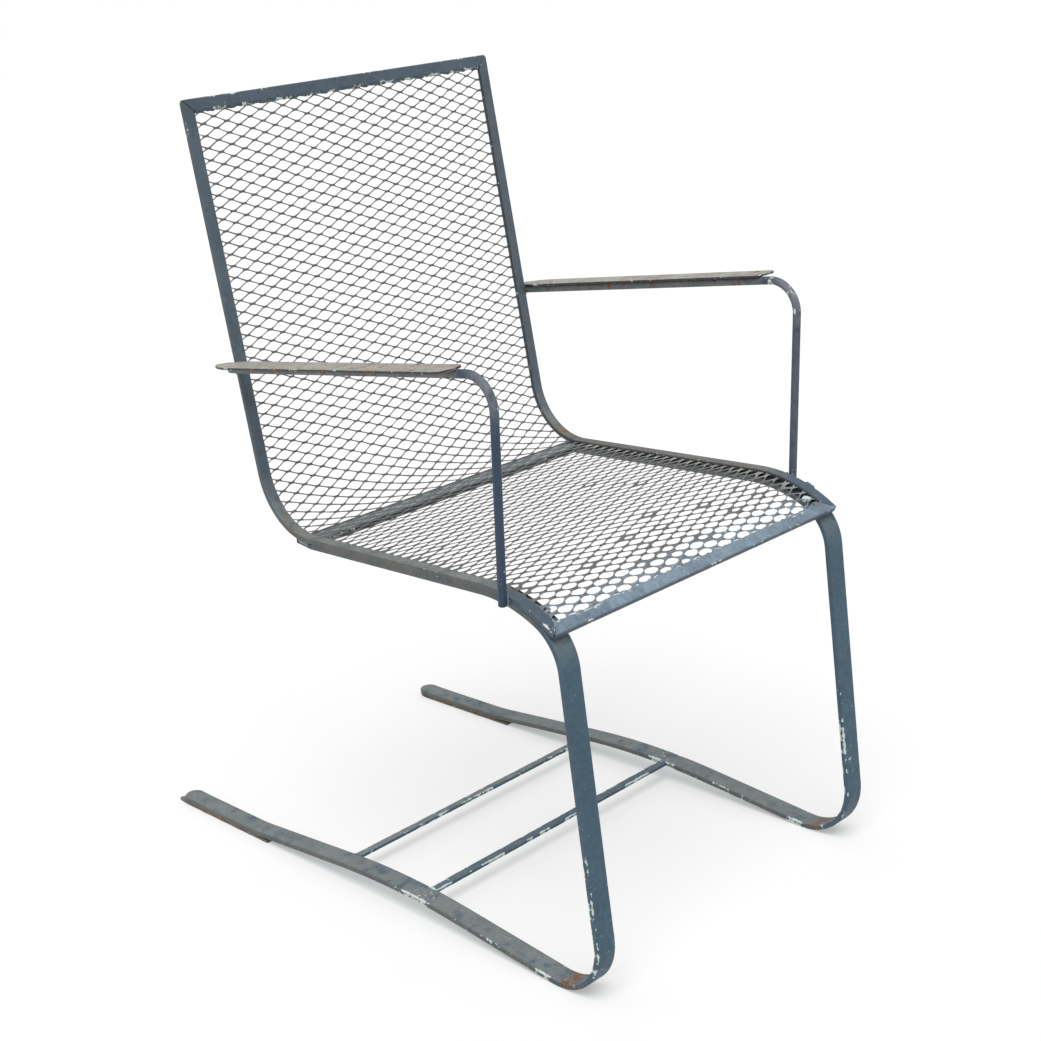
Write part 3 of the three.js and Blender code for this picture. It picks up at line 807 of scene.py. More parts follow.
def cross_strip(name, path, place, half, width, low_n, high_n, radius, rust, chips, fade, shaded_edges=0.0):
    """Flat bar straight across the chair on a side path, its section the same up to its rounded ends"""
    rounding = 0.0006
    x = np.concatenate([[-half], np.linspace(-half + rounding, half - rounding, 60), [half]])
    axes = cross_axes(path, place, x)
    shrink = np.where(np.abs(x) > half - rounding / 2, rounding, 0.0)
    section = bar_section(-width / 2 + shrink, width / 2 - shrink, low_n + shrink, high_n - shrink, radius)
    marks = {
        "fade": fade * up_share(axes, section),
        # Painted shade along both edges of the strip, growing from its middle to its edges
        "dark": shaded_edges * np.abs(section[0]) / (width / 2),
        "rust": rust,
        "chips": np.clip(chips + 0.3 * wobble(x, 8, 0.11), 0, 1)[:, None],
    }
    return flat_bar(name, axes, section, marks)


def build_cross_bar(sizes, springs):
    """Rear cross bar, under the bend between seat and back"""
    path = frame_path(sizes)
    top = -(sizes.bar_thickness + sizes.gap)
    place = path.start(REAR_BEND) + sizes.cross_past_seat
    half = sizes.width / 2 - sizes.cross_inset
    limits = (half, sizes.cross_width, top - springs.thickness, top, LEAF_ROUNDING)
    # The cross bar's edges are darkened with painted shade
    piece = cross_strip("rear_cross_strip", path, place, *limits, rust=0.2, chips=0.4, fade=1.0, shaded_edges=1.0)
    finished(piece, "cross_finish", "seat", "frame_paint", "rear_cross_bar")


def build_stretchers(sizes, springs):
    """Stretchers: flat bars between the runners, at the middle of their thickness"""
    path, foot_end, _ = leaf_path(sizes, springs)
    half = sizes.width / 2 - springs.width - sizes.gap
    low = (springs.thickness - springs.stretcher_thickness) / 2
    limits = (half, springs.stretcher_width, low, low + springs.stretcher_thickness, STRIP_ROUNDING)
    for label, place, fade in (("front", springs.front_stretcher, 0.45), ("rear", springs.rear_stretcher, 1.1)):
        name = f"{label}_stretcher_bar"
        piece = cross_strip(name, path, foot_end + place, *limits, rust=0.1, chips=1.0, fade=fade)
        finished(piece, "spring_finish", "base", "spring_paint", f"{label}_stretcher")


def build_springs(sizes, springs):
    """Leaf spring: the leaf section along the leaf path, rounded off at the tail.
    Under the seat its wide faces are darkened with painted shade.
    Rust lies behind the foot, and chips along the leg, round the foot and on the runner's front half."""
    path, foot_end, _ = leaf_path(sizes, springs)
    half = springs.width / 2
    tail = path.length - half * (1 - np.sin(np.linspace(0, 0.97, 9)[1:] * QUARTER))
    places = np.concatenate([path.stations(0.0, path.length - half), tail])
    to_end = np.clip(path.length - places, 0, half)
    reach = np.sqrt(half**2 - (half - to_end) ** 2)
    axes = side_axes(path, places)
    place = places[:, None]
    knee = path.start(KNEE)
    under_seat = ramp(place, knee + 0.014, -0.012)
    browned = np.where(place < knee, 0.9, 0.15) + 0.8 * ramp(place, foot_end - 0.01, 0.05)
    past_foot = place - foot_end
    rust = humps(past_foot, 0, (0.66, -0.026, 0.036), (0.30, 0.58, 0.06))
    chips = humps(
        past_foot, 0.12, (0.95, -0.15, 0.17), (1.55, 0.22, 0.055), (0.40, 0.12, 0.10), (1.20, 0.012, 0.03)
    )
    for label, side in SIDES:
        middle = side * (sizes.width / 2 - half)
        section = bar_section(middle - reach, middle + reach, 0.0, springs.thickness, LEAF_ROUNDING)
        narrow = side_share(section)
        right_half = section[0] > section[0].mean(1, keepdims=True)
        marks = {
            "fade": up_share(axes, section) * (1 - under_seat),
            "side": narrow * browned,
            # Painted shade on the wide faces under the seat
            "dark": under_seat * (1 - narrow),
            "rust": rust,
            "chips": chips * (1 - 0.6 * right_half),
        }
        piece = flat_bar(f"{label}_spring_leaf", axes, section, marks)
        finished(piece, "spring_finish", None, "spring_paint", f"{label}_leaf_spring")
        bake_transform(piece)


def build_lower_leaves(sizes, springs):
    """Lower leaf: a strip on the floor whose half width falls along a curve to its tip, near its outer side"""
    path, _, settled = leaf_path(sizes, springs)
    start = float(path.at(settled)[0]) - springs.lower_lead
    finish = float(path.end[0]) + springs.lower_overhang
    half, tip, point = springs.lower_width / 2, springs.lower_tip / 2, springs.lower_point
    body = np.linspace(start, finish - point, 30)
    t = np.linspace(0, 1, 13)[1:]
    point_half = curve(t, half, half, tip)
    y = np.concatenate([[start], body + 0.0005, finish - point + curve(t, 0, point * 2 / 3, point)])
    width = np.concatenate([[half - 0.0005], np.full_like(body, half), point_half])
    axes = side_axes(SidePath(0.0, 0.0, 0.0).straight(10.0), y)
    for label, side in SIDES:
        middle = side * (sizes.width / 2 - springs.width / 2 + 0.8 * (half - width))
        section = bar_section(middle - width, middle + width, 0.0, springs.lower_thickness, STRIP_ROUNDING)
        marks = {"fade": up_share(axes, section), "rust": 0.35, "chips": 0.30}
        piece = flat_bar(f"{label}_floor_leaf", axes, section, marks)
        finished(piece, "lower_leaf_finish", "base", "rusty_steel", f"{label}_lower_leaf")


def build_arm_rods(sizes, arms):
    """Arm rod: a circle along the arm path, its ends drawn in a little.
    It is grey at the bend and under the armrest, with painted shade on its upper side where the armrest covers it, and
    on the right also grey at the post. Chips lie at the foot, round the bend and in front of the armrest."""
    path, _ = arm_path(sizes, arms)
    radius = arms.rod_diameter / 2
    between = path.stations(0.002, path.length - 0.002, 0.005)
    places = np.concatenate([[0.0, 0.0005], between, [path.length - 0.0005, path.length]])
    size = np.full_like(places, radius)
    size[[0, -1]] = radius - 0.0008
    place = places[:, None]
    bend, arm = path.start(ROD_BEND), path.start(ROD_ARM)
    section = round_section(size, 20, 0.35 + 0.3 * wobble(place, 21, 0.03))
    under_rest = ramp(place, arm + arms.rest_lead, 0.002)
    for label, side in SIDES:
        axes = side_axes(path, places, side * (sizes.width / 2 + sizes.gap + radius))
        grey_post = 0.40 if side > 0 else 0.0
        greyed = humps(place, grey_post * (place < bend), (1.0, bend + 0.024, 0.05))
        marks = {
            "fade": np.clip(greyed + 0.6 * under_rest, 0, 1),
            "side": under_rest,
            # Painted shade on the upper side of the rod under the armrest
            "dark": under_rest * np.clip(up_share(axes, section) * 2.4 - 1.1, 0, 0.95),
            "rust": 0.15 + 0.25 * under_rest,
            "chips": humps(place, 0.15, (0.60, bend + 0.015, 0.05), (0.3, 0.0, 0.05), (1.3, arm - 0.003, 0.010)),
        }
        piece = sweep(f"{label}_arm_bar", axes, section, marks)
        finished(piece, "arm_finish", "seat", "arm_paint", f"{label}_arm_rod")


def build_armrests(sizes, arms):
    """Armrest: a flat strip on the arm rod, square at the front with rounded corners. Towards the rear tip its half
    width follows a curve. Behind the stile's front face only the part outside the stile goes on. Its narrow sides are
    darkened with painted shade, and chips lie at the rear."""
    path, reach = arm_path(sizes, arms)
    radius = arms.rod_diameter / 2
    start = path.start(ROD_ARM) + arms.rest_lead
    total = reach - arms.rest_lead + arms.rest_past_stile
    half, tip, corner, point = arms.rest_width / 2, arms.rest_tip / 2, arms.rest_corner, arms.rest_point
    t = np.linspace(0, 1, 13)
    corner_place = corner * t**2
    corner_half = half - corner * (1 - t) ** 2
    point_place = curve(t, 0, point / 3, point)
    point_half = curve(t, tip, half, half)
    rail = frame_path(sizes)
    slant = math.sin(rail.at(rail.start(BACK))[2] - path.end[2])
    notch = reach - arms.rest_lead - (sizes.bar_thickness + arms.stile_clearance) / slant
    even = np.linspace(corner, total - point, 40)
    notch_places = [notch, notch + 0.00005]
    local = np.unique(np.round(np.concatenate([corner_place, even, total - point_place, notch_places]), 6))
    outline = np.concatenate([corner_place, total - point_place[::-1]]), np.concatenate([corner_half, point_half[::-1]])
    halves = np.interp(local, *outline)
    middle = sizes.width / 2 + sizes.gap + radius + arms.rest_outset
    inner, outer = middle - halves, middle + halves
    inner = np.where(local > notch + 0.00002, np.maximum(inner, sizes.width / 2 + arms.stile_clearance), inner)
    outer = np.maximum(outer, inner + 0.001)
    low_n = radius + sizes.gap
    places = start + local
    axes = side_axes(path, places)
    place = places[:, None]
    chips = np.clip(humps(place, 0.35, (0.4, start + total - 0.05, 0.06)) + 0.15 * wobble(place, 31, 0.05), 0, 1)
    for label, side in SIDES:
        low, high = (inner, outer) if side > 0 else (-outer, -inner)
        section = bar_section(low, high, low_n, low_n + arms.rest_thickness, PLATE_ROUNDING)
        marks = {
            "fade": up_share(axes, section),
            # Painted shade on the armrest's narrow sides
            "dark": 0.85 * side_share(section),
            "rust": 0.38,
            "chips": chips,
        }
        piece = flat_bar(f"{label}_rest_plate", axes, section, marks)
        finished(piece, "armrest_finish", "seat", "armrest_paint", f"{label}_armrest")


def opening_template(net):
    """Half of the strands round one opening, as a loop of 14 points by 4 points of the strand's section, for an opening
    with clean strands and for one rounded by thick paint.

    The opening lies between a left, a lower, a right and an upper bond. The strip below it runs from the lower half
    of the left bond over the upper half of the lower bond to the right bond, and the strip above mirrors it. Outer
    points lie on the middle line of a strip and inner points on its edge, and a strip's section is turned up by tilt.
    The inner points of a painted opening lie on an ellipse."""
    long, short, bond = net.half_long, net.half_short, net.bond_length / 2
    width, thick = net.strip_width / 2, net.strip_thickness / 2
    flat, upright = math.cos(net.tilt), math.sin(net.tilt)
    x = np.array([-long, -long + bond, -bond, 0.0, bond, long - bond, long])
    at_side = np.array([True, True, False, False, False, True, True])
    middle = np.where(at_side, -width, width)
    outer = np.stack([x, np.where(at_side, 0.0, -short) + middle * flat, middle * upright], -1)
    inner = outer + width * np.array([0, flat, upright])
    # The inner edge of a strand starts later than its middle line, lies closer at the middle bond, and meets the other
    # strand's a little past the outer bonds and below the middle
    late, closer, past_bond, below = 0.0026, 0.0002, 0.0010, 0.00025
    slope = np.array([-(short - 2 * width * flat) * 0.85, 2 * width * upright]) / (long - 2 * bond)
    for i, way in ((1, 1), (5, -1)):
        inner[i] += [way * late, *(slope * late)]
    inner[[2, 4], 1] += closer
    for i, way in ((0, 1), (6, -1)):
        inner[i] = [x[i] + way * (bond + past_bond), -below, -below * math.tan(net.tilt)]
    turn = np.radians([188, 216, 244, 270, 296, 324, 352])
    oval = np.stack([net.oval_length / 2 * np.cos(turn), net.oval_width / 2 * np.sin(turn), 0.8 * inner[:, 2]], -1)
    outer, inner, oval = (np.concatenate([half, (half * [1, -1, -1])[::-1]]) for half in (outer, inner, oval))
    up = np.array([0, -upright, flat])

    def section(edge):
        return np.stack([outer + thick * up, edge + 0.5 * thick * up, edge - 0.5 * thick * up, outer - thick * up], 1)

    return section(inner), section(oval)


def strays(points, seed, amount):
    """Smooth drift of the lattice: sines of x and place with random phases, which neighbours share"""
    x, s, _ = points.T
    moved = points.copy()
    moved[:, 0] += amount * (wobble(s + 0.7 * x, seed, 0.045) * 0.7 + wobble(s - 0.4 * x, seed + 1, 0.021) * 0.3)
    moved[:, 1] += amount * (wobble(x + 0.5 * s, seed + 2, 0.050) * 0.6 + wobble(x - 0.9 * s, seed + 3, 0.024) * 0.4)
    moved[:, 2] += amount * 0.6 * wobble(x + 1.1 * s, seed + 4, 0.080)
    return moved


def paint_webs(x, s, seat_end, seed):
    """How far thick paint rounds each opening, from 0 to 1: fully at the front edge, and a little on the seat"""
    near_front = np.clip(1.25 - s / 0.085, 0, 1) * ramp(x, 0.200, -0.03, 0.15)
    overall = (0.22 + 0.26 * ramp(s, seat_end, -0.05)) * ramp(x, 0.205, -0.03, 0.3)
    return np.clip(overall + near_front * (0.50 + 0.25 * wobble(x + s, seed, 0.07)), 0, 1)


def clogging(x, s, edge, seed):
    """How far paint closes each opening, from 0 to 1, and the direction in which its hole is left: a few openings at
    the front and along the side rails of the seat"""
    chance = np.random.RandomState(seed)
    luck, amount, lean = (chance.uniform(low, high, len(x)) for low, high in ((0, 1), (0.10, 0.42), (0, math.tau)))
    near_front = np.clip(1 - s / 0.10, 0, 1)
    near_left, near_right = (np.clip(1 - (edge + way * x) / 0.025, 0, 1) * (s < 0.40) for way in (1, -1))
    odds = 0.02 * (s < 0.25) + 0.20 * near_front + 0.35 * near_left + 0.20 * near_right
    return np.where(luck < odds, amount, 0.0), np.stack([0.0062 * np.cos(lean), 0.0022 * np.sin(lean), 0 * lean], -1)


def build_sheet(sizes, net):
    """Expanded metal sheet: openings in staggered rows in the flat, welded along their shared strands, drifted a
    little, cut to the frame's inside and laid on the frame path."""
    path = frame_path(sizes)
    edge = sizes.width / 2 - sizes.bar_width - sizes.gap
    low_s = sizes.bar_width + sizes.gap
    high_s = path.length - low_s
    clean, painted_over = opening_template(net)
    column, row = np.meshgrid(np.arange(-2, 32), np.arange(-2, 144), indexing="ij")
    x = net.first_bond_x + column * net.half_long
    s = path.length - net.first_bond_drop - row * net.half_short
    spare = net.half_short * 1.2
    keep = ((column + row) % 2 != 0) & (np.abs(x) < edge + net.half_long) & (s > low_s - spare) & (s < high_s + spare)
    x, s = x[keep], s[keep]
    web = paint_webs(x, s, path.start(REAR_BEND), net.seed + 10)
    shape = clean + (painted_over - clean) * web[:, None, None, None]
    closed, hole = clogging(x, s, edge, net.seed + 20)
    count, loop, ring = shape.shape[:3]
    rough = np.random.RandomState(net.seed + 30).uniform(-1, 1, (count, loop, 1, 3))
    rough *= (0.00012 + 0.00050 * web)[:, None, None, None] * [1, 0.7, 0]
    inner = shape[:, :, 1:3] + rough
    shape[:, :, 1:3] = inner + (hole[:, None, None] - inner) * closed[:, None, None, None]
    points = shape + np.stack([x, s, np.zeros_like(x)], -1)[:, None, None]
    points = strays(points.reshape(-1, 3), net.seed, net.waviness)
    first = (np.arange(count) * loop * ring)[:, None, None]
    i, j = np.arange(loop)[:, None], np.arange(ring - 1)
    here, after = first + i * ring + j, first + (i + 1) % loop * ring + j
    quads = np.stack([here, after, after + 1, here + 1], -1).reshape(-1, 4)
    # Points in the same cell of 2 micrometres are one
    cells = np.round(points * 5e5).astype(np.int64)
    _, kept, number = np.unique(cells, axis=0, return_index=True, return_inverse=True)
    piece = make_mesh("woven_steel_net", points[kept], [number.reshape(-1)[quads]], {})
    cut_to_frame(piece.data, edge, low_s, high_s)
    x, place, height = lay_on_path(piece.data, path, net, low_s, edge)
    set_marks(piece.data, sheet_marks(x, place, height, edge, path.start(REAR_BEND)))
    finished(piece, "mesh_finish", "seat", "mesh_paint", "expanded_metal_sheet")


def cut_to_frame(mesh, edge, low_s, high_s):
    """Cuts the flat sheet at its four edges and closes the cut ends"""
    shape = bmesh.new()
    shape.from_mesh(mesh)
    for x, s, side_x, side_s in ((edge, 0, 1, 0), (-edge, 0, -1, 0), (0, high_s, 0, 1), (0, low_s, 0, -1)):
        plane = {"plane_co": (x, s, 0), "plane_no": (side_x, side_s, 0)}
        everything = shape.verts[:] + shape.edges[:] + shape.faces[:]
        bmesh.ops.bisect_plane(shape, geom=everything, dist=1e-7, clear_outer=True, **plane)
    bmesh.ops.holes_fill(shape, edges=[e for e in shape.edges if e.is_boundary], sides=0)
    bmesh.ops.recalc_face_normals(shape, faces=shape.faces[:])
    for face in shape.faces:
        face.smooth = True
    shape.to_mesh(mesh)
    shape.free()


def lay_on_path(mesh, path, net, low_s, edge):
    """Moves flat points (x, place, height) to x, the path's point at place, plus height less sink along its normal.
    Behind the front edge the sheet is pressed down by one wave of a cosine along it, times a parabola of the fourth
    power across it. Returns the flat points."""
    points = np.empty(len(mesh.vertices) * 3, np.float32)
    mesh.vertices.foreach_get("co", points)
    x, place, height = points.reshape(-1, 3).astype(float).T
    y, z, heading = path.at(place)
    wave = (1 - np.cos(math.tau * np.clip((place - low_s) / net.sag_length, 0, 1))) / 2
    rise = height - net.sink - net.sag * wave * np.clip(1 - (x / edge) ** 4, 0, 1)
    laid = np.stack([x, y - np.sin(heading) * rise, z + np.cos(heading) * rise], -1)
    mesh.vertices.foreach_set("co", laid.astype(np.float32).ravel())
    mesh.update()
    return x, place, height


def front_share(place):
    """Share of the front edge's paint at a place on the frame path, still to be clipped to 0 to 1"""
    return 1.6 - place / 0.030


def sheet_marks(x, place, height, edge, seat_end):
    """Marks of the sheet: edges everywhere a little, fade on the seat, blue paint at the front edge, rust behind the
    seat, painted shade on the strands where they meet the left rail, and a painted highlight on those over the right
    spring"""
    strand_height = 0.002
    on_top = np.clip(height / strand_height, 0, 1)
    # Painted highlight: the strands over the right spring are made paler and bluer
    lit_over_spring = ramp(x, edge - 0.020, 0.008) * (place < seat_end)
    by_left_rail = humps(x, 0, (1, -edge, 0.016))
    return {
        # Painted shade on the strands by the left rail, strongest near the front
        "dark": by_left_rail * humps(place, 0.35 * (place < seat_end), (0.50, 0.07, 0.06)),
        "edge": np.clip(0.3 + height / strand_height * 0.5, 0, 1),
        "fade": 5.5 * lit_over_spring + on_top * ramp(place, seat_end, -0.06) * ramp(place, 0.06, 0.05),
        "side": np.clip(front_share(place) + 0.4 * lit_over_spring * ramp(place, 0.36, -0.16, 0.2), 0, 1),
        "rust": humps(place, 0, (0.20, seat_end, 0.10)),
        "chips": humps(place, 0.10, (0.35, 0.02, 0.06)),
    }


def seam(name, axes, radius, edge, marks, finish, slot, sides=8):
    """Uneven bead of paint or weld metal along a bar, which rides on the seat"""
    finished(sweep(name, axes, round_section(radius, sides, edge), marks), finish, "seat", slot)


def lumpy(values, seed, broad, fine):
    """Lumps of two sizes, from -0.8 to 1"""
    return np.clip(wobble(values, seed, broad) * 0.7 + wobble(values, seed + 2, fine) * 0.3, -0.8, 1)


def build_mesh_seams(sizes):
    """Paint and weld metal where the strands meet the frame: an uneven bead round the frame's inside, fuller along the
    seat than along the back, thin at the right rail and thick at the top"""
    path = frame_path(sizes)
    edge = sizes.width / 2 - sizes.bar_width
    inset, step = 0.001, 0.0016
    places = np.arange(sizes.bar_width + inset, path.length - sizes.bar_width - inset, step)
    for label, side, seed, fullness in (("left", -1, 40, 1.0), ("right", 1, 42, 0.15)):
        lumps = lumpy(places, seed, 0.011, 0.005)
        fullness = fullness * np.clip(1 - (places - 0.40) / 0.06, 0.25, 1)
        marks = {
            "fade": 0.6,
            "side": np.clip(front_share(places), 0, 1)[:, None],
            # Painted shade: the right seam is darkened, and on the left its lumps carry a weaker dark mark
            "dark": 0.8 if side > 0 else 0.45 * np.clip(lumps, 0, 1)[:, None],
            "rust": 0.2,
            "chips": np.clip(0.35 + 0.3 * lumps, 0, 1)[:, None],
        }
        axes = side_axes(path, places, side * (edge - 0.0002), 0.0022)
        radius = 0.0010 + (0.0009 + 0.0009 * lumps) * fullness
        seam(f"{label}_mesh_seam", axes, radius, 0.4, marks, "mesh_finish", "mesh_paint")
    x = np.arange(-edge + inset, edge - inset, step)
    lumps = lumpy(x, 48, 0.013, 0.006)
    marks = {"fade": 0.6, "side": 1.0, "rust": 0.1, "chips": (0.25 + 0.2 * lumps)[:, None]}
    axes = cross_axes(path, sizes.bar_width, x, 0.0002, 0.0022)
    seam("front_mesh_seam", axes, 0.0021 + 0.0010 * lumps, 0.5, marks, "mesh_finish", "mesh_paint")
    lumps = lumpy(x, 46, 0.013, 0.006)
    marks = {"rust": 0.1, "chips": (1.1 - 0.4 * lumps)[:, None]}
    axes = cross_axes(path, path.length - sizes.bar_width, x, -0.0002, 0.0030)
    seam("top_mesh_seam", axes, 0.0026 + 0.0010 * lumps, 0.5, marks, "frame_finish", "mesh_paint")


def build_spring_seams(sizes, springs):
    """Paint that fills the gap between each side rail and the arm of the spring below it, along the outer side"""
    path = frame_path(sizes)
    start = path.start(SEAT) - springs.knee_setback - 0.030
    places = np.arange(start, path.start(REAR_BEND) - 0.004, 0.003)
    taper = np.clip(np.minimum(places - places[0], places[-1] - places) / 0.006, 0.15, 1)
    radius = (0.00125 + 0.00015 * wobble(places, 71, 0.02)) * taper
    marks = {"side": ramp(places, *BEHIND_FRONT)[:, None], "rust": 0.2, "chips": 0.2}
    for label, side in SIDES:
        axes = side_axes(path, places, side * (sizes.width / 2 - 0.00115), sizes.bar_thickness + sizes.gap / 2)
        seam(f"{label}_spring_seam", axes, radius, 0.2, marks, "frame_finish", "frame_paint")


def build_seat_welds(sizes, springs, arms):
    """Welds of the upper part: arm rods on rails and stiles, springs and cross bar under the rails, front corners, and
    single lumps at the front corners and on the right rail"""
    rail = frame_path(sizes)
    leaf, _, _ = leaf_path(sizes, springs)
    arm, reach = arm_path(sizes, arms)
    half = sizes.width / 2
    inside = half - sizes.bar_width
    rod = arms.rod_diameter / 2
    beads = []
    for _, side in SIDES:
        x = side * (half + 0.0008)
        y, z, _ = arm.at(0.0)
        for way in (-rod, rod):
            beads.append(((x, y + way, z + 0.001), (x, y + way * 0.8, z + 0.012), 0.0017, 0.3, 0.1))
        beads.append(((x, y - rod, z + 0.0008), (x, y + rod, z + 0.0008), 0.0018, 0.5, 0.1))
        y, z, _ = arm.at(arm.start(ROD_ARM) + reach)
        for way in (-rod, rod):
            beads.append(((x, y - 0.006, z + way), (x, y + 0.001, z + way), 0.0015, 0.3, 0.2))
        spot = leaf.spot(leaf.start(KNEE) + 0.009, 0.0004)
        beads.append(((side * (half - 0.001), *spot), (side * (half - springs.width + 0.002), *spot), 0.0020, 0.4, 0.1))
        x, place = side * (inside - 0.0006), rail.start(REAR_BEND) + sizes.cross_past_seat
        for way in (-1, 1):
            near, far = (rail.spot(place, sizes.bar_thickness, ahead * way) for ahead in (0.003, 0.011))
            beads.append(((x, *near), (x, *far), 0.0017, 0.3, 0.3))
        spot = rail.spot(sizes.bar_width + 0.0006, 0.002)
        size = 0.0026 if side > 0 else 0.0018
        beads.append(((side * (inside - 0.0005), *spot), (side * (inside - 0.011), *spot), size, 0.9, 0.5))
    # Lumps from x and place to x and place, at a depth, with a size, chips and rust
    for x1, place1, x2, place2, depth, size, chips, rust in (
        (inside - 0.004, 0.026, inside - 0.013, 0.031, 0.0040, 0.0034, 1.7, 0.5),
        (inside - 0.002, 0.0165, inside - 0.010, 0.0175, 0.0040, 0.0028, 1.2, 0.45),
        (0.004 - inside, 0.030, 0.012 - inside, 0.036, 0.0040, 0.0026, 0.5, 0.2),
        (half + 0.0006, 0.036, half + 0.0006, 0.050, 0.0020, 0.0028, 0.3, 0.0),
    ):
        beads.append(((x1, *rail.spot(place1, depth)), (x2, *rail.spot(place2, depth)), size, chips, rust))
    weld("seat_welds", beads, "seat", "frame_paint")


def build_base_welds(sizes, springs):
    """Welds of the lower part: stretcher ends on the runners, lower leaves under the tails"""
    leaf, foot_end, settled = leaf_path(sizes, springs)
    rise = (springs.thickness + springs.stretcher_thickness) / 2
    reach = springs.stretcher_width / 2
    beads = []
    for _, side in SIDES:
        x = side * (sizes.width / 2 - springs.width)
        for place in (springs.front_stretcher, springs.rear_stretcher):
            start, finish = (leaf.spot(foot_end + place, -rise, ahead) for ahead in (-reach, reach))
            beads.append(((x, *start), (x, *finish), 0.0018, 1.0, 0.0))
        for outset, place in ((-1, 0.010), (-1, 0.075), (1, 0.015), (1, 0.050), (1, 0.090)):
            x = side * (sizes.width / 2 - springs.width / 2 + outset * (springs.width / 2 - 0.0002))
            y, z = float(leaf.at(settled + place)[0]), springs.lower_thickness
            beads.append(((x, y, z), (x, y + 0.016, z), 0.0011, 0.3, 1.0))
    weld("base_welds", beads, "base", "spring_paint")


# Stage


def far_lamp(name, place, spread, strength):
    """Lamp so far away that it lights the whole floor alike, wide enough for soft shadows"""
    lamp = bpy.data.lights.new(name, "SUN")
    lamp.angle = spread
    lamp.energy = strength
    holder = bpy.data.objects.new(name, lamp)
    holder.location = place
    holder.rotation_euler = (-Vector(place)).to_track_quat("-Z", "Y").to_euler()
    bpy.context.scene.collection.objects.link(holder)


def floor_material(finish):
    """Pale floor: lit by lamp and studio, and lifted to white for rays that come from the camera or a reflection"""
    material = bpy.data.materials.new("pale_floor")
    material.use_nodes = True
    n = Nodes(material.node_tree)
    n.tree.nodes.clear()
    soft = n.noise(n.make("TexCoord", {})["Object"], 3.0, 2.0, 0.55)
    plain = n.make("BsdfDiffuse", {"Color": n.mix(soft, finish.floor, [0.96 * c for c in finish.floor])})[0]
    rays = n.make("LightPath", {})
    seen = n.math("MAXIMUM", rays["Is Camera Ray"], rays["Is Glossy Ray"])
    seen = n.math("MAXIMUM", seen, rays["Is Transmission Ray"])
    bright = n.make("Emission", {"Color": (1, 1, 1), "Strength": n.times(seen, 0.35)})[0]
    n.make("OutputMaterial", {"Surface": n.make("AddShader", {0: plain, 1: bright})[0]})
    return material


def build_floor(finish):
    """Floor: a square grid a hair under z = 0"""
    reach, cells, depth = 60.0, 12, 0.0002
    ticks = np.linspace(-reach, reach, cells + 1)
    points = np.stack(np.meshgrid(ticks, ticks, [-depth], indexing="ij"), -1).reshape(-1, 3)
    row = cells + 1
    corner = np.add.outer(np.arange(cells) * row, np.arange(cells)).reshape(-1, 1)
    mesh = bpy.data.meshes.new("floor")
    mesh.from_pydata(points.tolist(), [], (corner + [0, row, row + 1, 1]).tolist())
    floor = bpy.data.objects.new("floor", mesh)
    bpy.context.scene.collection.objects.link(floor)
    mesh.materials.append(floor_material(finish))


def build_world(scene):
    """White studio, brighter where the camera sees it than where it lights the chair"""
    scene.world = bpy.data.worlds.new("studio")
    scene.world.use_nodes = True
    n = Nodes(scene.world.node_tree)
    rays = n.make("LightPath", {})
    seen = n.math("MAXIMUM", rays["Is Camera Ray"], rays["Is Transmission Ray"])
    background = n.tree.nodes["Background"].inputs
    n.put(background["Color"], (1, 1, 1))
    n.put(background["Strength"], n.plus(n.times(seen, 0.42), 0.58))


def build_camera(scene):
    """Camera as solved from the photograph: its lens, its shift, its place, and its right, down and forward axes"""
    camera = bpy.data.cameras.new("camera")
    camera.sensor_width = 36.0
    camera.lens = 58.68
    camera.shift_x, camera.shift_y = 0.00803, -0.00066
    camera.clip_start, camera.clip_end = 0.05, 200.0
    viewer = bpy.data.objects.new("camera", camera)
    right = Vector((0.726083, -0.678341, -0.112503))
    down = Vector((-0.282271, -0.144855, -0.948335))
    ahead = Vector((0.626998, 0.720327, -0.296653))
    turn = Matrix((right, -down, -ahead)).transposed().to_4x4()
    viewer.matrix_world = Matrix.Translation((-1.222125, -1.498839, 0.987231)) @ turn
    scene.collection.objects.link(viewer)
    scene.camera = viewer


# Operators


class SPRINGCHAIR_OT_frame(bpy.types.Operator):
    """Build the side rails, the front and top rails, the rear cross bar, and the seams and welds on them"""

    bl_idname = "springchair.frame"
    bl_label = "Frame bars"

    def execute(self, context):
        chair = context.scene.spring_chair
        build_side_rails(chair.frame)
        build_end_rails(chair.frame)
        build_cross_bar(chair.frame, chair.springs)
        build_spring_seams(chair.frame, chair.springs)
        build_seat_welds(chair.frame, chair.springs, chair.arms)
        return {"FINISHED"}


class SPRINGCHAIR_OT_springs(bpy.types.Operator):
    """Build the two leaf springs, between runners and seat"""

    bl_idname = "springchair.springs"
    bl_label = "Leaf springs"

    def execute(self, context):
        chair = context.scene.spring_chair
        build_springs(chair.frame, chair.springs)
        return {"FINISHED"}


class SPRINGCHAIR_OT_base(bpy.types.Operator):
    """Build the lower leaves, the stretchers and their welds"""

    bl_idname = "springchair.base"
    bl_label = "Lower leaves and stretchers"

    def execute(self, context):
        chair = context.scene.spring_chair
        build_lower_leaves(chair.frame, chair.springs)
        build_stretchers(chair.frame, chair.springs)
        build_base_welds(chair.frame, chair.springs)
        return {"FINISHED"}


class SPRINGCHAIR_OT_arms(bpy.types.Operator):
    """Build the arm rods and the armrests"""

    bl_idname = "springchair.arms"
    bl_label = "Arms"

    def execute(self, context):
        chair = context.scene.spring_chair
        build_arm_rods(chair.frame, chair.arms)
        build_armrests(chair.frame, chair.arms)
        return {"FINISHED"}


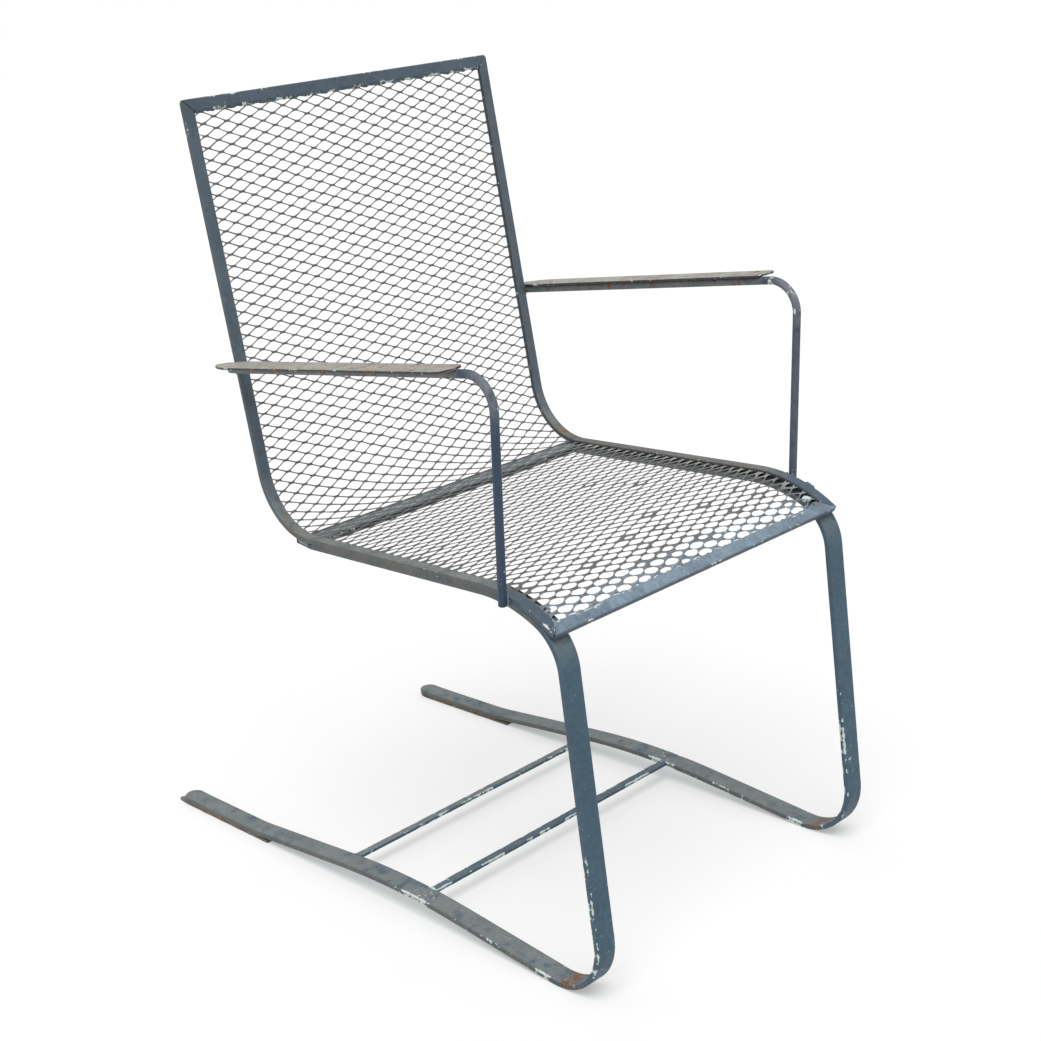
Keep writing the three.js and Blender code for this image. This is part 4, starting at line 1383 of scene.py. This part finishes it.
class SPRINGCHAIR_OT_sheet(bpy.types.Operator):
    """Build the expanded metal sheet and the seams that hold it"""

    bl_idname = "springchair.sheet"
    bl_label = "Expanded metal"

    def execute(self, context):
        chair = context.scene.spring_chair
        build_sheet(chair.frame, chair.net)
        build_mesh_seams(chair.frame)
        return {"FINISHED"}


class SPRINGCHAIR_OT_stage(bpy.types.Operator):
    """Make the pale floor, the white studio, the lamp and the camera at the photograph's angle"""

    bl_idname = "springchair.stage"
    bl_label = "Stage"

    def execute(self, context):
        scene = context.scene
        build_floor(scene.spring_chair.finish)
        build_world(scene)
        far_lamp("key", (-1.2, -1.3, 3.4), math.radians(38), 1.9)
        build_camera(scene)
        scene.view_settings.view_transform = "Standard"
        return {"FINISHED"}


class SPRINGCHAIR_PT_sidebar(bpy.types.Panel):
    """Lists the chair's operators and its settings"""

    bl_idname = "SPRINGCHAIR_PT_sidebar"
    bl_label = "Spring chair"
    bl_space_type = "VIEW_3D"
    bl_region_type = "UI"
    bl_category = "Spring chair"

    def draw(self, context):
        for operator in OPERATORS:
            self.layout.operator(operator.bl_idname)
        chair = context.scene.spring_chair
        for group in (chair.frame, chair.springs, chair.arms, chair.net, chair.finish):
            box = self.layout.box()
            for name in group.__annotations__:
                box.prop(group, name)


OPERATORS = (
    SPRINGCHAIR_OT_frame,
    SPRINGCHAIR_OT_springs,
    SPRINGCHAIR_OT_base,
    SPRINGCHAIR_OT_arms,
    SPRINGCHAIR_OT_sheet,
    SPRINGCHAIR_OT_stage,
)
GROUPS = (ChairFrameSizes, ChairSpringSizes, ChairArmSizes, ChairMeshSizes, ChairFinish, ChairSettings)
CLASSES = (*GROUPS, *OPERATORS, SPRINGCHAIR_PT_sidebar)


def register():
    for kind in CLASSES:
        bpy.utils.register_class(kind)
    settings = PointerProperty(type=ChairSettings, name="Spring chair", description="Settings of the chair")
    bpy.types.Scene.spring_chair = settings


def unregister():
    del bpy.types.Scene.spring_chair
    for kind in reversed(CLASSES):
        bpy.utils.unregister_class(kind)


def main():
    register()
    steps = bpy.ops.springchair
    for step in (steps.frame, steps.springs, steps.base, steps.arms, steps.sheet, steps.stage):
        if step() != {"FINISHED"}:
            raise RuntimeError("a step of the chair did not finish")


if __name__ == "__main__":
    main()
